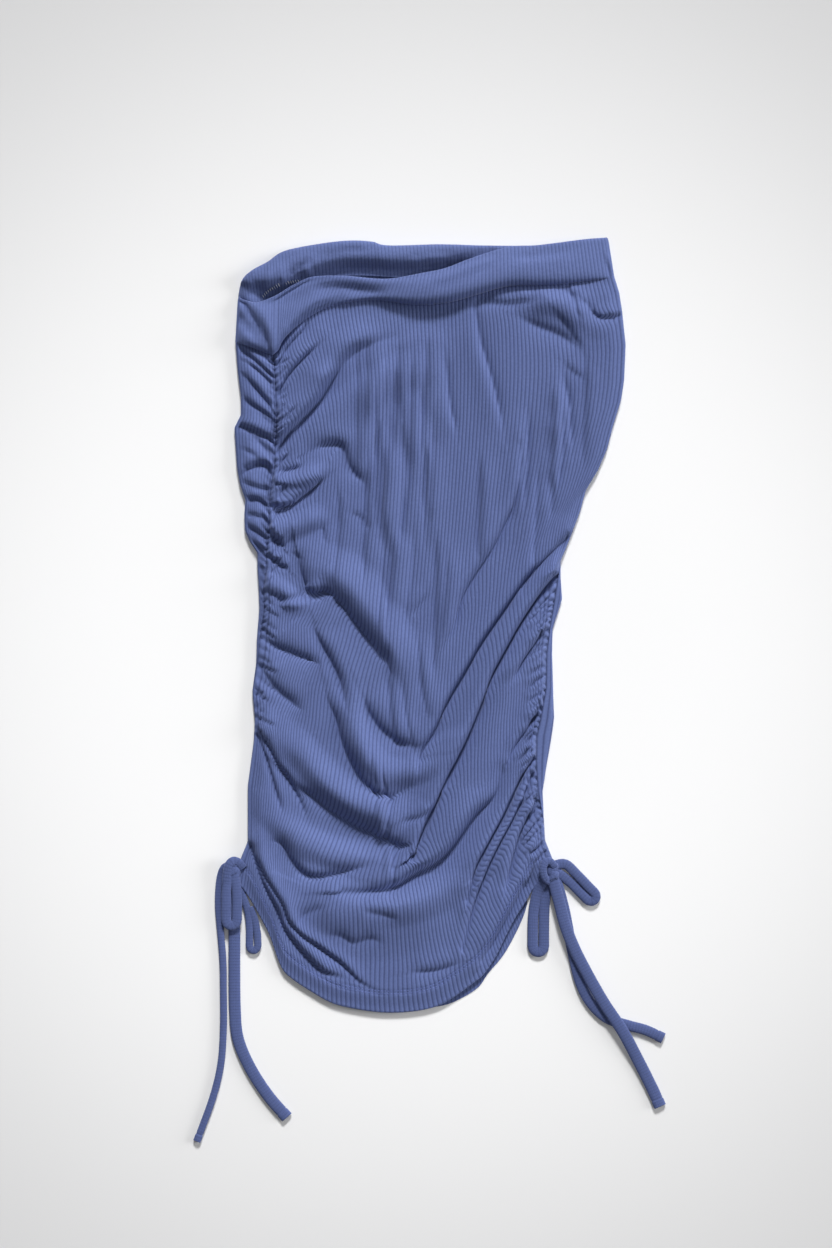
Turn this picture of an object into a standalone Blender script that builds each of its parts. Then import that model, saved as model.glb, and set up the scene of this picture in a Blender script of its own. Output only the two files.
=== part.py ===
"""Ruched drawstring skirt in fine rib knit, laid flat with its front panel up.

The skirt is a tube of two panels and a waistband, gathered along both sides, with a bow
at each end of the hem. It lies on z = 0, +Y towards the waist and +X to the viewer's right.
Outlines and folds are read off the flat view: "across" and "down" count in the units of that
view, in which the waistband is WAIST_IN_VIEW wide, and SCALE turns them into millimetres.
Heights, widths of folds and thicknesses are in millimetres.
"""
import math

import bmesh
import bpy
import numpy as np

# Driving dimensions in millimetres
WAIST_WIDTH = 345.0
WAIST_IN_VIEW = 375.0
SCALE = WAIST_WIDTH / WAIST_IN_VIEW
VIEW_CENTRE = (423.65, 624.65)
METRES = 0.001
PANEL_WALL = 1.6
BAND_WALL = 2.2
SEAM_GAP = 0.5
EDGE_RADIUS = 2.6
HEM_RADIUS = 2.05
BODY_RISE = 1.4
LOWEST_TOP = 3.7
RIM_SLANT = 1.0
RIB_HEIGHT = 0.45
CLOTH = (0.10, 0.14, 0.38, 1.0)

# Grid of the front panel: columns are wales of the knit, rows are its courses
FRONT_COLUMNS = 72
FRONT_ROWS = 43
INNER_STEP = 3
EDGE_STEPS = (0.0, 1.3, 2.9, 5.2)
END_PULL = 8
SIDE_PULL = 6
STEEPEST_SIDE = 0.8
SLACK_FROM_SIDE = (EDGE_RADIUS, 16.0)
SLACK_FROM_HEM = (2.0, 24.0)
SLACK_FROM_TOP = (0.5, 12.0)
FOLD_FADE = 0.35

# Grid of the back panel and the band. The rows that turn onto the front slant by LEFT_TILT.
BACK_FLAT_STEPS = 12
RIGHT_STEPS = 4
LEFT_ARC_STEPS = 3
LEFT_TOP_STEPS = 5
LEFT_TILT = 0.35
GATHER_RISE = 0.9
GATHER_DEPTH = 1.0
GATHER_FULL = 9.0
OPEN_WRAP = 10.0
BAND_UNDER_STEPS = 12
BAND_LEFT_CORNER = (238, 297)
BAND_RIGHT_CORNER = (608, 238)
BAND_LEVELS = [
    # share of the height, share of the roll, share of the middle, drop in millimetres
    (0.0, 0.0, 0.0, 0.0),
    (0.3, 0.1, 0.8, 0.0),
    (0.6, 0.5, 0.6, 0.0),
    (0.88, 1.0, 0.0, 0.0),
    (1.0, 0.75, 0.0, 0.6),
]

# Left side of the tube: the fold of the cloth and the gathered seam, which lies on the
# front face in the upper half and runs out to the fold lower down
LEFT_SIDE = [
    # down, fold across, seam across
    (339, 235.5, 272.0),
    (353, 236.5, 273.0),
    (372, 238.0, 275.0),
    (397, 241.0, 276.0),
    (415, 241.0, 277.0),
    (428, 234.5, 276.5),
    (450, 236.0, 275.0),
    (466, 237.0, 275.0),
    (484, 240.0, 271.5),
    (500, 245.5, 269.5),
    (515, 244.5, 270.0),
    (530, 245.0, 269.0),
    (541, 249.5, 268.0),
    (553, 257.5, 266.5),
    (567, 257.5, 267.0),
    (588, 259.0, 263.5),
    (608, 259.5, 264.5),
    (639, 257.0, 260.0),
    (662, 256.5, 257.5),
    (691, 252.5, 252.5),
    (719, 255.0, 255.0),
    (740, 254.0, 254.0),
    (785, 248.0, 248.0),
    (822, 248.0, 248.0),
    (841, 248.0, 248.0),
    (858, 241.0, 241.0),
    (882, 236.5, 236.5),
]

# Right side: the seam is at the fold but for a stretch where a sliver of the back shows
RIGHT_SIDE = [
    # down, fold across, seam across
    (273, 613.0, 613.0),
    (293, 619.0, 619.0),
    (312, 622.0, 622.0),
    (345, 625.5, 625.5),
    (380, 624.0, 624.0),
    (400, 621.0, 621.0),
    (426, 613.0, 613.0),
    (449, 607.0, 607.0),
    (470, 598.0, 598.0),
    (490, 586.0, 586.0),
    (513, 579.5, 579.5),
    (547, 566.5, 566.5),
    (561, 560.5, 560.5),
    (577, 560.5, 558.0),
    (599, 562.0, 554.5),
    (629, 552.5, 549.5),
    (654, 552.0, 546.5),
    (688, 553.0, 546.0),
    (718, 554.0, 540.5),
    (736, 551.5, 536.5),
    (762, 547.0, 536.0),
    (791, 542.5, 538.0),
    (823, 544.0, 544.0),
    (840, 545.0, 545.0),
    (858, 552.0, 552.0),
]

# Courses of the front panel from the waist to the hem, where five wales cross them
COURSES = [
    # across and down at the left seam, first quarter, middle, third quarter, right seam
    ((273, 353), (344, 304), (434, 303), (524, 287), (613, 276)),
    ((276, 392), (352, 364), (437, 370), (527, 366), (625, 335)),
    ((275, 440), (353, 428), (436, 440), (521, 440), (618, 395)),
    ((271, 487), (350, 497), (432, 515), (511, 515), (603, 450)),
    ((268, 535), (343, 558), (426, 592), (500, 592), (583, 503)),
    ((266, 580), (336, 618), (420, 668), (487, 672), (563, 553)),
    ((261, 632), (328, 678), (412, 742), (477, 750), (553, 605)),
    ((255, 690), (321, 740), (405, 806), (472, 825), (547, 660)),
    ((251, 750), (310, 806), (396, 862), (472, 876), (541, 720)),
    ((248, 800), (300, 864), (390, 915), (477, 914), (538, 775)),
    ((247, 843), (291, 914), (384, 963), (482, 946), (544, 825)),
    ((237, 881), (278, 958), (370, 1009), (478, 978), (551, 859)),
]

# Top edge of the front panel, along the seam of the waistband
FRONT_TOP = [
    (273, 353), (280, 341), (291, 330), (305, 319), (321, 310), (340, 304), (374, 300),
    (416, 304), (446, 302), (469, 296), (507, 285), (538, 283), (568, 280.5), (613, 273),
]

# Hem of the front panel, from the left knot round to the right knot
FRONT_HEM = [
    (237, 881), (248, 896), (262, 920), (270, 936), (281, 965), (292, 977), (313, 991),
    (331, 1001), (348, 1006), (376, 1010.5), (400, 1011), (425, 1008), (445, 1001),
    (471, 983), (484, 972), (496, 954), (505, 936), (515, 917), (528, 897), (533, 888),
    (539, 880), (545, 866), (551, 859),
]

# Hem of the back panel, which shows past the front one at the lower right
BACK_HEM = [
    (239, 883), (251, 901), (264, 924), (273, 944), (284, 968), (296, 980), (318, 994),
    (348, 1005), (376, 1009.5), (400, 1010.5), (418, 1010), (445, 1006), (462, 999),
    (479, 988), (489, 974), (504, 956), (516, 935), (525, 915), (528, 904), (529, 896),
    (533, 888), (539, 880), (545, 866), (551, 859),
]

# Top edge of the back panel, hidden under the front of the band
BACK_TOP = [
    (236, 341), (244, 328), (256, 315), (270, 303), (290, 292), (318, 284), (350, 279),
    (440, 281), (540, 282), (590, 277), (613, 273),
]

# Upper edge of the waistband on the front, left to right, with the height of its soft roll
BAND_FRONT_TOP = [
    # across, down, roll height, middle height
    (238, 297, 0.0, 0.0),
    (246, 301, 1.4, 0.6),
    (258, 303, 2.4, 1.2),
    (275, 297, 2.8, 1.4),
    (294, 286, 2.8, 0.8),
    (313, 278, 2.9, 0.2),
    (345, 277, 3.0, -0.3),
    (386, 280, 3.2, 0.4),
    (423, 274, 3.3, 1.6),
    (446, 269, 3.3, 2.0),
    (469, 260, 2.8, 1.9),
    (507, 248, 2.2, 1.5),
    (538, 246, 1.6, 1.0),
    (584, 240, 0.8, 0.4),
    (608, 238, 0.0, 0.0),
]

# Upper edge of the waistband at the back, right to left
BAND_BACK_TOP = [
    (608, 238), (584, 240), (561, 243), (538, 246), (484, 246), (440, 245), (388, 246),
    (371, 242), (344, 241.5), (309, 246), (283, 252), (268, 262), (252, 271), (242, 281),
    (238, 297),
]

# Folds of the front panel. A rise below zero is a trough. The two widths are the reach in
# millimetres to the left and to the right of someone who walks along the route, and start
# and end are the share of the rise left at the two ends of the route.
FRONT_FOLDS = [
    # name, rise, left reach, right reach, start, end, route
    ("crease from the band corner", -1.6, 9, 9, 0.8, 0.1, [(277, 367), (291, 346), (307, 322)]),
    ("pucker one", -1.8, 8, 9, 1.0, 0.0, [(275, 396), (290, 375), (325, 340)]),
    ("main upper crease", -2.6, 10, 13, 1.0, 0.1,
     [(275, 450), (302, 421), (327, 391), (346, 360), (379, 339)]),
    ("roll above the main crease", 2.0, 20, 12, 1.0, 0.2,
     [(276, 428), (300, 402), (322, 370), (352, 340), (400, 322)]),
    ("bulge below the main crease", 1.6, 16, 22, 0.2, 0.0,
     [(300, 445), (345, 400), (395, 370), (440, 350)]),
    ("upper trough turning down", -2.0, 12, 12, 0.3, 0.2,
     [(308, 450), (338, 446), (350, 468), (370, 492)]),
    ("seam trough one", -2.6, 11, 11, 1.0, 0.1, [(270, 507), (292, 505), (327, 478)]),
    ("seam roll one", 1.8, 12, 12, 1.0, 0.1, [(274, 480), (300, 478), (330, 462)]),
    ("seam roll two", 1.8, 14, 14, 1.0, 0.1, [(269, 530), (296, 530), (326, 520)]),
    ("seam trough two", -2.0, 10, 10, 1.0, 0.1, [(267, 553), (290, 566), (304, 590)]),
    ("seam roll three", 1.6, 12, 12, 1.0, 0.1, [(264, 578), (280, 590), (300, 612)]),
    ("left main drape", -2.4, 17, 13, 0.7, 0.2,
     [(300, 588), (336, 597), (351, 615), (370, 642), (398, 682)]),
    ("ridge over the left main drape", 2.6, 26, 14, 0.5, 0.1,
     [(305, 560), (345, 578), (372, 612), (398, 652), (424, 700)]),
    ("second drape", -2.2, 12, 14, 0.3, 0.2,
     [(262, 622), (276, 648), (300, 656), (318, 660)]),
    ("third drape", -2.2, 13, 13, 0.3, 0.3,
     [(310, 626), (331, 661), (345, 700), (346, 745)]),
    ("deep middle trough", -2.6, 18, 15, 0.2, 0.3,
     [(323, 681), (341, 739), (367, 786), (390, 799), (420, 782)]),
    ("wide middle trough", -2.2, 18, 16, 0.2, 0.3,
     [(358, 690), (380, 728), (404, 745), (424, 748)]),
    ("roll between the troughs", 2.0, 16, 16, 0.2, 0.3,
     [(344, 690), (360, 740), (388, 770), (424, 766), (450, 735)]),
    ("left lower crease", -2.4, 12, 12, 1.0, 0.1,
     [(258, 742), (276, 776), (293, 800), (306, 826)]),
    ("wide lower trough", -3.0, 19, 15, 0.4, 0.1,
     [(286, 778), (315, 800), (350, 822), (414, 843)]),
    ("roll over the lower trough", 2.6, 24, 16, 0.5, 0.2,
     [(268, 728), (300, 756), (330, 786), (372, 812), (410, 820)]),
    ("swag below the left knot", -2.2, 12, 14, 0.2, 0.2,
     [(266, 837), (285, 852), (309, 876), (340, 871), (367, 860)]),
    ("roll of the swag", 2.2, 18, 16, 0.2, 0.2,
     [(262, 800), (292, 832), (330, 850), (366, 846)]),
    ("deep lower trough", -3.0, 13, 16, 0.3, 0.2,
     [(357, 893), (400, 882), (440, 860), (474, 817), (502, 773)]),
    ("roll below the deep trough", 2.4, 16, 20, 0.2, 0.2,
     [(330, 905), (400, 900), (450, 880), (486, 842), (512, 800)]),
    ("long right crease", -2.2, 11, 13, 1.0, 0.2,
     [(556, 580), (528, 612), (494, 673), (469, 735), (432, 813), (408, 857)]),
    ("roll left of the long crease", 2.0, 16, 14, 0.8, 0.2,
     [(560, 548), (510, 622), (474, 690), (448, 752), (412, 828)]),
    ("roll right of the long crease", 2.2, 14, 20, 0.8, 0.3,
     [(548, 618), (516, 668), (488, 736), (456, 806), (424, 866)]),
    ("high right crease", -1.6, 12, 12, 0.4, 0.1,
     [(565, 539), (524, 583), (483, 642), (448, 702), (419, 765)]),
    ("soft right crease", -1.5, 13, 12, 0.2, 0.1,
     [(520, 447), (514, 505), (491, 551), (464, 594), (434, 661)]),
    ("twin crease", -2.2, 10, 10, 0.8, 0.3,
     [(535, 760), (508, 816), (478, 872), (466, 925)]),
    ("roll beside the twin crease", 2.0, 12, 14, 0.8, 0.3,
     [(540, 790), (524, 830), (500, 880), (482, 930)]),
    ("hem crease", -2.4, 9, 12, 0.8, 0.1,
     [(249, 852), (275, 904), (296, 944), (327, 973), (362, 984)]),
    ("roll above the hem crease", 1.8, 14, 12, 0.6, 0.1,
     [(262, 860), (290, 905), (322, 948), (366, 966)]),
    ("low crease", -1.4, 12, 12, 0.2, 0.2, [(362, 974), (411, 974), (459, 962)]),
    ("hollow under the band, left", -1.4, 12, 14, 0.5, 0.4,
     [(345, 318), (400, 318), (450, 314)]),
    ("slanting hollow at the upper right", -1.8, 12, 14, 0.3, 0.3,
     [(519, 318), (545, 330), (581, 352)]),
    ("lobe at the upper right", 1.6, 14, 14, 0.2, 0.2, [(530, 300), (560, 310), (600, 330)]),
    ("soft upright fold one", -1.1, 14, 16, 0.2, 0.1, [(476, 309), (481, 345), (494, 400)]),
    ("soft upright fold two", -1.1, 14, 14, 0.2, 0.1, [(446, 340), (450, 400), (456, 460)]),
]

# Gathers of the back panel where it turns onto the front face, left of the seam
LEFT_GATHERS = [
    # name, rise, left reach, right reach, start, end, route
    ("gather 1", -1.6, 6, 6, 0.3, 0.9, [(243, 345), (270, 372)]),
    ("gather 2", -1.4, 6, 6, 0.6, 0.9, [(244, 363), (272, 386)]),
    ("gather 3", -1.6, 6, 6, 0.6, 0.9, [(246, 380), (271, 408)]),
    ("gather 4", 1.2, 7, 7, 0.6, 0.6, [(246, 392), (272, 418)]),
    ("gather 5", -1.6, 6, 6, 0.6, 0.9, [(240, 408), (274, 428)]),
    ("gather 6", -2.0, 7, 7, 0.8, 0.9, [(237, 426), (272, 441)]),
    ("gather 7", 1.4, 7, 7, 0.6, 0.6, [(238, 440), (270, 452)]),
    ("gather 8", -2.0, 7, 7, 0.6, 0.9, [(246, 466), (272, 466)]),
    ("gather 9", 1.4, 7, 7, 0.6, 0.6, [(243, 480), (268, 484)]),
    ("gather 10", -1.8, 6, 6, 0.6, 0.9, [(246, 499), (266, 505)]),
    ("gather 11", 1.2, 6, 6, 0.6, 0.6, [(246, 512), (266, 518)]),
    ("gather 12", -1.6, 6, 6, 0.6, 0.9, [(246, 527), (266, 537)]),
]

# The drawstring's free ends and bows: flat strips of the same cloth
TIE_THICKNESS = 3.4
TIES = [
    # name, width in mm, route of (across, down, height in mm)
    ("left_tail_outer", 6.6, [
        (221.1, 870.5, 1.9), (218.9, 885, 1.9), (218.6, 905, 1.9), (221, 935, 1.9),
        (223, 960, 1.9), (223.5, 990, 1.9), (223.5, 1028, 1.9), (221, 1063, 1.9),
        (213, 1097, 1.9), (197, 1141, 1.9)]),
    ("left_tail_inner", 11.0, [
        (229.6, 878.6, 1.9), (231.5, 892, 1.9), (233.5, 908, 1.9), (234.5, 935, 1.9),
        (234.5, 969, 1.9), (235, 1008, 1.9), (238, 1038, 1.9), (250, 1067, 1.9),
        (268, 1095, 1.9), (287, 1117, 1.9)]),
    ("right_tail_over", 11.0, [
        (553.2, 880.2, 5.7), (558.5, 900, 5.7), (565, 925, 5.7), (575, 950, 5.7),
        (589, 977, 5.7), (604, 1003, 5.7), (622, 1030, 5.7), (638, 1060, 2.6),
        (652, 1088, 1.9), (660, 1106, 1.9)]),
    ("right_tail_under", 9.7, [
        (558.1, 882, 1.9), (564, 908, 1.9), (568, 928, 1.9), (572, 950, 1.9),
        (580, 982, 1.9), (591, 1003, 1.9), (607, 1018, 1.9), (628, 1025, 1.9),
        (646, 1030, 1.9), (663, 1038, 1.9)]),
    ("left_loop_front", 8.5, [
        (229.3, 877, 5.9), (227.2, 890, 5.9), (226.8, 904, 5.9), (226.8, 915.5, 5.9),
        (226.8, 919, 5.9), (228.3, 922.7, 5.9), (232, 924.2, 5.9), (235.7, 922.7, 5.9),
        (237.2, 919, 5.9), (237.2, 915.5, 5.9), (237.2, 905, 5.9), (237.0, 893, 5.9)]),
    ("left_loop_back", 6.0, [
        (241.0, 891.3, 1.9), (247.4, 911, 1.9), (249.4, 927, 1.9), (249.6, 943.6, 1.9),
        (249.6, 946.6, 1.9), (250.8, 949.4, 1.9), (253.6, 950.6, 1.9), (256.4, 949.4, 1.9),
        (257.6, 946.6, 1.9), (257.6, 943.6, 1.9), (257.6, 936, 1.9), (257.6, 927, 1.9)]),
    ("right_loop_down", 9.0, [
        (547.6, 880.2, 1.9), (544.6, 900, 1.9), (543.8, 920, 1.9), (543.6, 942, 1.9),
        (543.6, 946, 1.9), (542, 949.8, 1.9), (538.2, 951.4, 1.9), (534.4, 949.8, 1.9),
        (532.8, 946, 1.9), (532.8, 942, 1.9), (533.0, 925, 1.9), (533.4, 909, 1.9)]),
    ("right_loop_side", 7.4, [
        (555.4, 864.6, 1.9), (566, 865.0, 1.9), (577, 875.5, 1.9), (588.3, 887, 1.9),
        (591.2, 889.9, 1.9), (594.0, 892.7, 1.9), (595.3, 895.9, 1.9), (594.0, 899.1, 1.9),
        (590.8, 900.5, 1.9), (587.6, 899.1, 1.9), (584.7, 896.3, 1.9), (579, 890, 1.9),
        (571, 880.6, 1.9), (562.5, 871.5, 1.9)]),
]

# The two knots, each a lump with soft lobes where the strand is wound round it
KNOTS = [
    # name, across, down, half width, half length, height
    ("left_knot", 232.4, 866.5, 6.1, 8.6, 8.6),
    ("right_knot", 550.6, 871.2, 5.2, 8.4, 8.6),
]
KNOT_LOBES = 5
KNOT_LOBE_RISE = 0.07
KNOT_CLEARANCE = 0.2


def place(points):
    """Positions in millimetres of points given as across and down in the flat view."""
    points = np.asarray(points, float)
    placed = points.copy()
    placed[..., 0] = (points[..., 0] - VIEW_CENTRE[0]) * SCALE
    placed[..., 1] = (VIEW_CENTRE[1] - points[..., 1]) * SCALE
    return placed


def smooth_run(points, steps=12):
    """Points of a smooth curve through the given ones, steps to each stretch."""
    points = np.asarray(points, float)
    padded = np.vstack([2 * points[0] - points[1], points, 2 * points[-1] - points[-2]])
    share = np.linspace(0.0, 1.0, steps, endpoint=False)[:, None]
    run = []
    for before, start, end, after in zip(padded, padded[1:], padded[2:], padded[3:]):
        slope_in = (end - before) / 2
        slope_out = (after - start) / 2
        run.append(
            start * (1 + 2 * share) * (1 - share) ** 2 + end * share ** 2 * (3 - 2 * share)
            + slope_in * share * (1 - share) ** 2 - slope_out * share ** 2 * (1 - share)
        )
    return np.vstack(run + [points[-1:]])


def along(points, shares, smooth=True):
    """Points at the given shares of a curve's length."""
    run = smooth_run(points) if smooth else np.asarray(points, float)
    lengths = np.linalg.norm(np.diff(run[:, :2], axis=0), axis=1)
    travelled = np.concatenate([[0.0], np.cumsum(lengths)])
    wanted = np.asarray(shares) * travelled[-1]
    return np.stack([np.interp(wanted, travelled, run[:, k]) for k in range(run.shape[1])], -1)


def ramp(value, start, end):
    """Smooth rise from 0 at start to 1 at end."""
    share = np.clip((value - start) / (end - start), 0.0, 1.0)
    return share * share * (3 - 2 * share)


def fold_heights(folds, spots):
    """Sum of the folds' heights at an array of positions in millimetres."""
    heights = np.zeros(spots.shape[:-1])
    for _name, rise, left_reach, right_reach, start, end, route in folds:
        run = smooth_run(place(route), 6)
        nearest = np.full(heights.shape, 1e9)
        side = np.zeros(heights.shape)
        share = np.zeros(heights.shape)
        pieces = len(run) - 1
        for index in range(pieces):
            tail, step = run[index], run[index + 1] - run[index]
            offset = spots[..., :2] - tail
            part = np.clip(offset @ step / (step @ step), 0.0, 1.0)
            gap = offset - part[..., None] * step
            distance = np.hypot(gap[..., 0], gap[..., 1])
            closer = distance < nearest
            turn = step[0] * gap[..., 1] - step[1] * gap[..., 0]
            nearest = np.where(closer, distance, nearest)
            side = np.where(closer, turn, side)
            share = np.where(closer, (index + part) / pieces, share)
        reach = np.where(side >= 0, left_reach, right_reach)
        bell = np.clip(1 - (nearest / reach) ** 2, 0.0, 1.0) ** 2
        strength = start + (1 - start) * ramp(share, 0.0, FOLD_FADE)
        strength = strength * (end + (1 - end) * ramp(1 - share, 0.0, FOLD_FADE))
        heights += rise * bell * strength
    return heights


def edge_section(path, radius):
    """Section of a folded side edge at a path length from its outermost point.

    Gives the distance in from the fold, the height, and the outward direction.
    Paths above zero run up over the edge, those below zero run down under it.
    """
    quarter = math.pi * radius / 2
    angle = np.clip(path, -quarter, quarter) / radius
    beyond = np.maximum(np.abs(path) - quarter, 0.0)
    inward = radius * (1 - np.cos(angle)) + beyond
    height = radius * (1 + np.sin(angle))
    return inward, height, -np.cos(angle), np.sin(angle)


def seam_path(wrap, radius):
    """Path length from the fold up to a seam that lies wrap millimetres in from it."""
    if wrap <= 0:
        return 0.0
    if wrap < radius:
        return radius * math.acos((radius - wrap) / radius)
    return math.pi * radius / 2 + wrap - radius


def side_at(table, down, column):
    """Position across of a side's fold (1) or seam (2) at a place down the skirt."""
    rows = np.asarray(table, float)
    return np.interp(down, rows[:, 0], rows[:, column])


def course_grid():
    """Five wales of the front panel, each with a point on every row."""
    table = np.array(COURSES, float)
    shares = np.linspace(0.0, 1.0, FRONT_ROWS)
    stations = np.linspace(0, len(COURSES) - 1, (len(COURSES) - 1) * 12 + 1)
    wales = []
    for wale in range(table.shape[1]):
        run = smooth_run(table[:, wale])
        places = np.stack([
            np.interp(shares * (len(COURSES) - 1), stations, run[:, k]) for k in range(2)
        ], -1)
        wales.append(places)
    return np.stack(wales, 1)


def row_frames():
    """Rows of the skirt: the two folds and seams of each, and the radius of its edges."""
    courses = course_grid()
    radii = HEM_RADIUS + (EDGE_RADIUS - HEM_RADIUS) * ramp(np.arange(FRONT_ROWS)[::-1], 0, 5)
    frames = []
    for row in range(FRONT_ROWS):
        left_down = courses[row, 0, 1]
        right_down = courses[row, -1, 1]
        wrap = side_at(LEFT_SIDE, left_down, 2) - side_at(LEFT_SIDE, left_down, 1)
        fold_down = left_down - LEFT_TILT * wrap
        left_fold = side_at(LEFT_SIDE, fold_down, 1)
        left_wrap = side_at(LEFT_SIDE, left_down, 2) - left_fold
        right_fold = side_at(RIGHT_SIDE, right_down, 1)
        right_wrap = right_fold - side_at(RIGHT_SIDE, right_down, 2)
        frames.append({
            "radius": radii[row],
            "left": place((left_fold, left_down)),
            "left_fold_rise": LEFT_TILT * wrap * SCALE,
            "left_wrap": left_wrap * SCALE,
            "right": place((right_fold, right_down)),
            "right_wrap": right_wrap * SCALE,
        })
    return frames


def row_curve(points, shares):
    """Smooth course through its five wales, at shares across the panel."""
    points = np.asarray(points, float)
    run = smooth_run(points)
    stations = np.linspace(0.0, 1.0, len(run))
    return np.stack([np.interp(shares, stations, run[:, k]) for k in range(2)], -1)


def front_panel_points(frames):
    """Outer and inner points of the front panel, rows from the waist to the hem."""
    courses = course_grid()
    edges = len(EDGE_STEPS)
    shares = np.linspace(0.0, 1.0, FRONT_COLUMNS - 2 * edges + 3)
    top = place(along(FRONT_TOP, shares))
    hem = place(along(FRONT_HEM, shares))
    depth = np.linspace(0.0, 1.0, FRONT_ROWS)
    plain = np.zeros((FRONT_ROWS, FRONT_COLUMNS + 1, 3))
    outward = np.zeros_like(plain)
    inside = np.zeros(plain.shape[:2])
    first_row = place(row_curve(courses[0], shares))
    last_row = place(row_curve(courses[-1], shares))
    for row, frame in enumerate(frames):
        curve = place(row_curve(courses[row], shares))
        curve = curve + (1 - depth[row]) ** END_PULL * (top - first_row)
        curve = curve + depth[row] ** END_PULL * (hem - last_row)
        sides = []
        for side, fold, wrap, slope_from in (
            (1, frame["left"], frame["left_wrap"], curve[1] - curve[0]),
            (-1, frame["right"], frame["right_wrap"], curve[-1] - curve[-2]),
        ):
            path = seam_path(wrap, frame["radius"]) + SEAM_GAP / 2 + np.array(EDGE_STEPS)
            inward, height, out_across, out_up = edge_section(path, frame["radius"])
            slope = slope_from[1] / abs(slope_from[0])
            slope = np.clip(slope, -STEEPEST_SIDE, STEEPEST_SIDE)
            across = fold[0] + side * inward
            up = fold[1] + side * slope * (inward - inward[0])
            sides.append((np.stack([across, up, height], -1), side * out_across, out_up, inward))
        left, right = sides
        body = curve + (1 - shares[:, None]) ** SIDE_PULL * (left[0][-1, :2] - curve[0])
        body = body + shares[:, None] ** SIDE_PULL * (right[0][-1, :2] - curve[-1])
        plain[row, :edges] = left[0]
        plain[row, -edges:] = right[0][::-1]
        plain[row, edges - 1:FRONT_COLUMNS + 2 - edges, :2] = body
        plain[row, edges:-edges, 2] = 2 * frame["radius"]
        outward[row, :, 2] = 1.0
        for spots, values in ((slice(0, edges), left), (slice(-edges, None), right)):
            order = 1 if spots.start == 0 else -1
            outward[row, spots, 0] = values[1][::order]
            outward[row, spots, 2] = values[2][::order]
            inside[row, spots] = values[3][::order]
        from_left = body[:, 0] - frame["left"][0]
        from_right = frame["right"][0] - body[:, 0]
        inside[row, edges - 1:FRONT_COLUMNS + 2 - edges] = np.minimum(from_left, from_right)
    to_hem = np.linalg.norm(plain[:, :, :2] - plain[-1, :, :2], axis=2)
    to_top = np.linalg.norm(plain[:, :, :2] - plain[0, :, :2], axis=2)
    loose = ramp(inside, *SLACK_FROM_SIDE) * ramp(to_hem, *SLACK_FROM_HEM)
    loose = loose * ramp(to_top, *SLACK_FROM_TOP)
    relief = BODY_RISE * loose + fold_heights(FRONT_FOLDS, plain) * np.sqrt(loose)
    plain[:, :, 2] += relief
    on_top = inside >= EDGE_RADIUS
    plain[:, :, 2] = np.where(on_top, np.maximum(plain[:, :, 2], LOWEST_TOP), plain[:, :, 2])
    outer = plain.copy()
    outer[:, edges + 1:-edges - 1:2, 2] += RIB_HEIGHT
    lowest = plain[:, :, 2].copy()
    lowest[:, 1:-1] = np.minimum.reduce([plain[:, :-2, 2], plain[:, 1:-1, 2], plain[:, 2:, 2]])
    lowest[:, :edges] = plain[:, :edges, 2]
    lowest[:, -edges:] = plain[:, -edges:, 2]
    inner = plain - PANEL_WALL * outward
    inner[:, :, 2] = lowest - PANEL_WALL * outward[:, :, 2]
    inner[0, :, 1] -= RIM_SLANT
    return outer, inner[:, ::INNER_STEP]


def left_paths_of(end, quarter):
    """Path lengths of the columns that turn over the left fold and run to the seam."""
    steps = LEFT_ARC_STEPS + LEFT_TOP_STEPS
    even = np.linspace(-quarter, end, steps + 1)
    arc = np.linspace(-quarter, min(end, quarter), LEFT_ARC_STEPS + 1)
    over = np.linspace(arc[-1], end, LEFT_TOP_STEPS + 1)[1:]
    share = ramp(end, quarter, quarter + OPEN_WRAP)
    return share * np.concatenate([arc, over]) + (1 - share) * even


def closer_rows(grid):
    """The grid with a row added halfway between each two rows of its upper half."""
    grid = np.array(grid)
    rows = []
    for row in range(FRONT_ROWS // 2):
        rows.append(grid[row])
        rows.append((grid[row] + grid[row + 1]) / 2)
    return np.concatenate([np.array(rows), grid[FRONT_ROWS // 2:]])


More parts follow.
